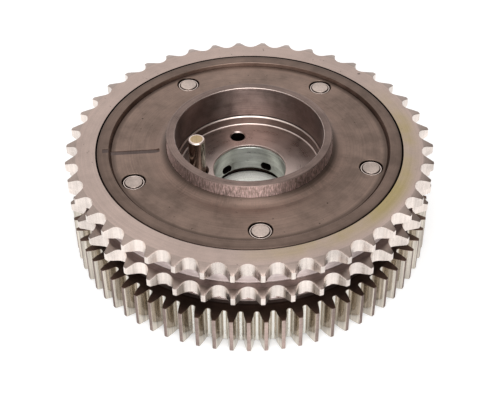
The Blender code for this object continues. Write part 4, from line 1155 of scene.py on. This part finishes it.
def build_floor():
    """A floor that looks white to the camera and in reflections, and keeps the object's shadow near it. Under
    the object its glow is taken away, which paints a shadow there.
    """
    reach = FLOOR_REACH
    mesh = bpy.data.meshes.new("floor")
    corners = [(-reach, -reach, 0), (reach, -reach, 0), (reach, reach, 0), (-reach, reach, 0)]
    mesh.from_pydata(corners, [], [(0, 1, 2, 3)])
    floor = bpy.data.objects.new("floor", mesh)
    bpy.context.scene.collection.objects.link(floor)
    floor.location.z = -FLOOR_DROP
    material = bpy.data.materials.new("floor_white")
    material.use_nodes = True
    tree = material.node_tree
    tree.nodes.clear()
    path = add(tree, "LightPath")
    at = add(tree, "TexCoord").outputs["Object"]
    distance = add(tree, "VectorMath", (0, at), operation="LENGTH").outputs["Value"]
    seen = maths(tree, "MAXIMUM", path.outputs["Is Camera Ray"], path.outputs["Is Glossy Ray"])
    seen = maths(tree, "MAXIMUM", seen, path.outputs["Is Transmission Ray"])
    # Painted shadow: no glow under the object
    seen = product(tree, seen, ranged(tree, distance, PAINTED_SHADOW_R, PAINTED_SHADOW_FADE_R))
    strength = product(tree, seen, FLOOR_GLOW)
    plain = add(tree, "BsdfDiffuse", ("Color", FLOOR_GREY))
    glow = add(tree, "Emission", ("Color", (*WHITE, 1.0)), ("Strength", strength))
    both = add(tree, "AddShader", (0, plain.outputs[0]), (1, glow.outputs[0]))
    output = add(tree, "OutputMaterial")
    tree.links.new(both.outputs[0], output.inputs["Surface"])
    mesh.materials.append(material)


def build_world():
    """A pale studio with dark wings at its left and right, and white to the camera."""
    world = bpy.data.worlds.new("studio")
    bpy.context.scene.world = world
    world.use_nodes = True
    tree = world.node_tree
    tree.nodes.clear()
    at = add(tree, "TexCoord").outputs["Generated"]
    across, _, up = add(tree, "SeparateXYZ", ("Vector", at)).outputs
    sky = mixed(tree, ranged(tree, up, 0.22, 0.55), WHITE, SKY)
    wings = maths(tree, "ADD", ranged(tree, across, 0.32, 0.75), ranged(tree, across, -0.60, -0.95))
    sky = mixed(tree, wings, sky, STUDIO_WINGS)
    seen = add(tree, "LightPath").outputs["Is Camera Ray"]
    sky = mixed(tree, seen, sky, WHITE)
    back = add(tree, "Background", ("Color", sky), ("Strength", 1.0))
    output = add(tree, "OutputWorld")
    tree.links.new(back.outputs[0], output.inputs["Surface"])


def soft_box(name, where, size, power):
    """A lamp that faces the object."""
    lamp = bpy.data.lights.new(name, "AREA")
    lamp.shape = "RECTANGLE"
    lamp.size, lamp.size_y = size
    lamp.energy = power
    obj = bpy.data.objects.new(name, lamp)
    obj.location = where
    obj.rotation_euler = (Vector(LIT_POINT) - Vector(where)).to_track_quat("-Z", "Y").to_euler()
    bpy.context.scene.collection.objects.link(obj)


def build_lights():
    build_world()
    soft_box("overhead", (0.03, -0.30, 0.75), (0.45, 0.45), 1.5)
    soft_box("front", (0.0, -0.70, 0.50), (0.90, 0.50), 2.3)


def build_camera():
    data = bpy.data.cameras.new("view")
    data.sensor_width = SENSOR_WIDTH
    data.lens = FOCAL_PIXELS / PHOTO_WIDTH * SENSOR_WIDTH
    data.clip_start = 0.01
    camera = bpy.data.objects.new("view", data)
    bpy.context.scene.collection.objects.link(camera)
    level = math.cos(CAMERA_PITCH)
    back = Vector((math.sin(CAMERA_YAW) * level, -math.cos(CAMERA_YAW) * level, math.sin(CAMERA_PITCH)))
    right = Vector((math.cos(CAMERA_YAW), math.sin(CAMERA_YAW), 0.0))
    up = back.cross(right)
    rolled_right = math.cos(CAMERA_ROLL) * right + math.sin(CAMERA_ROLL) * up
    rolled_up = math.cos(CAMERA_ROLL) * up - math.sin(CAMERA_ROLL) * right
    axes = Matrix((rolled_right, rolled_up, back)).transposed().to_4x4()
    camera.matrix_world = Matrix.Translation(Vector(CAMERA_PLACE) * MM) @ axes
    bpy.context.scene.camera = camera


build_housing()
build_gear()
build_rear_cover()
build_front_cover()
build_screws()
build_rotor()
build_dowel()
build_sleeve()
build_bush()
build_lock_spring()
dress_hidden_nodes()
build_floor()
build_lights()
build_camera()
bpy.context.scene.view_settings.view_transform = "Standard"

bpy.context.view_layer.update()
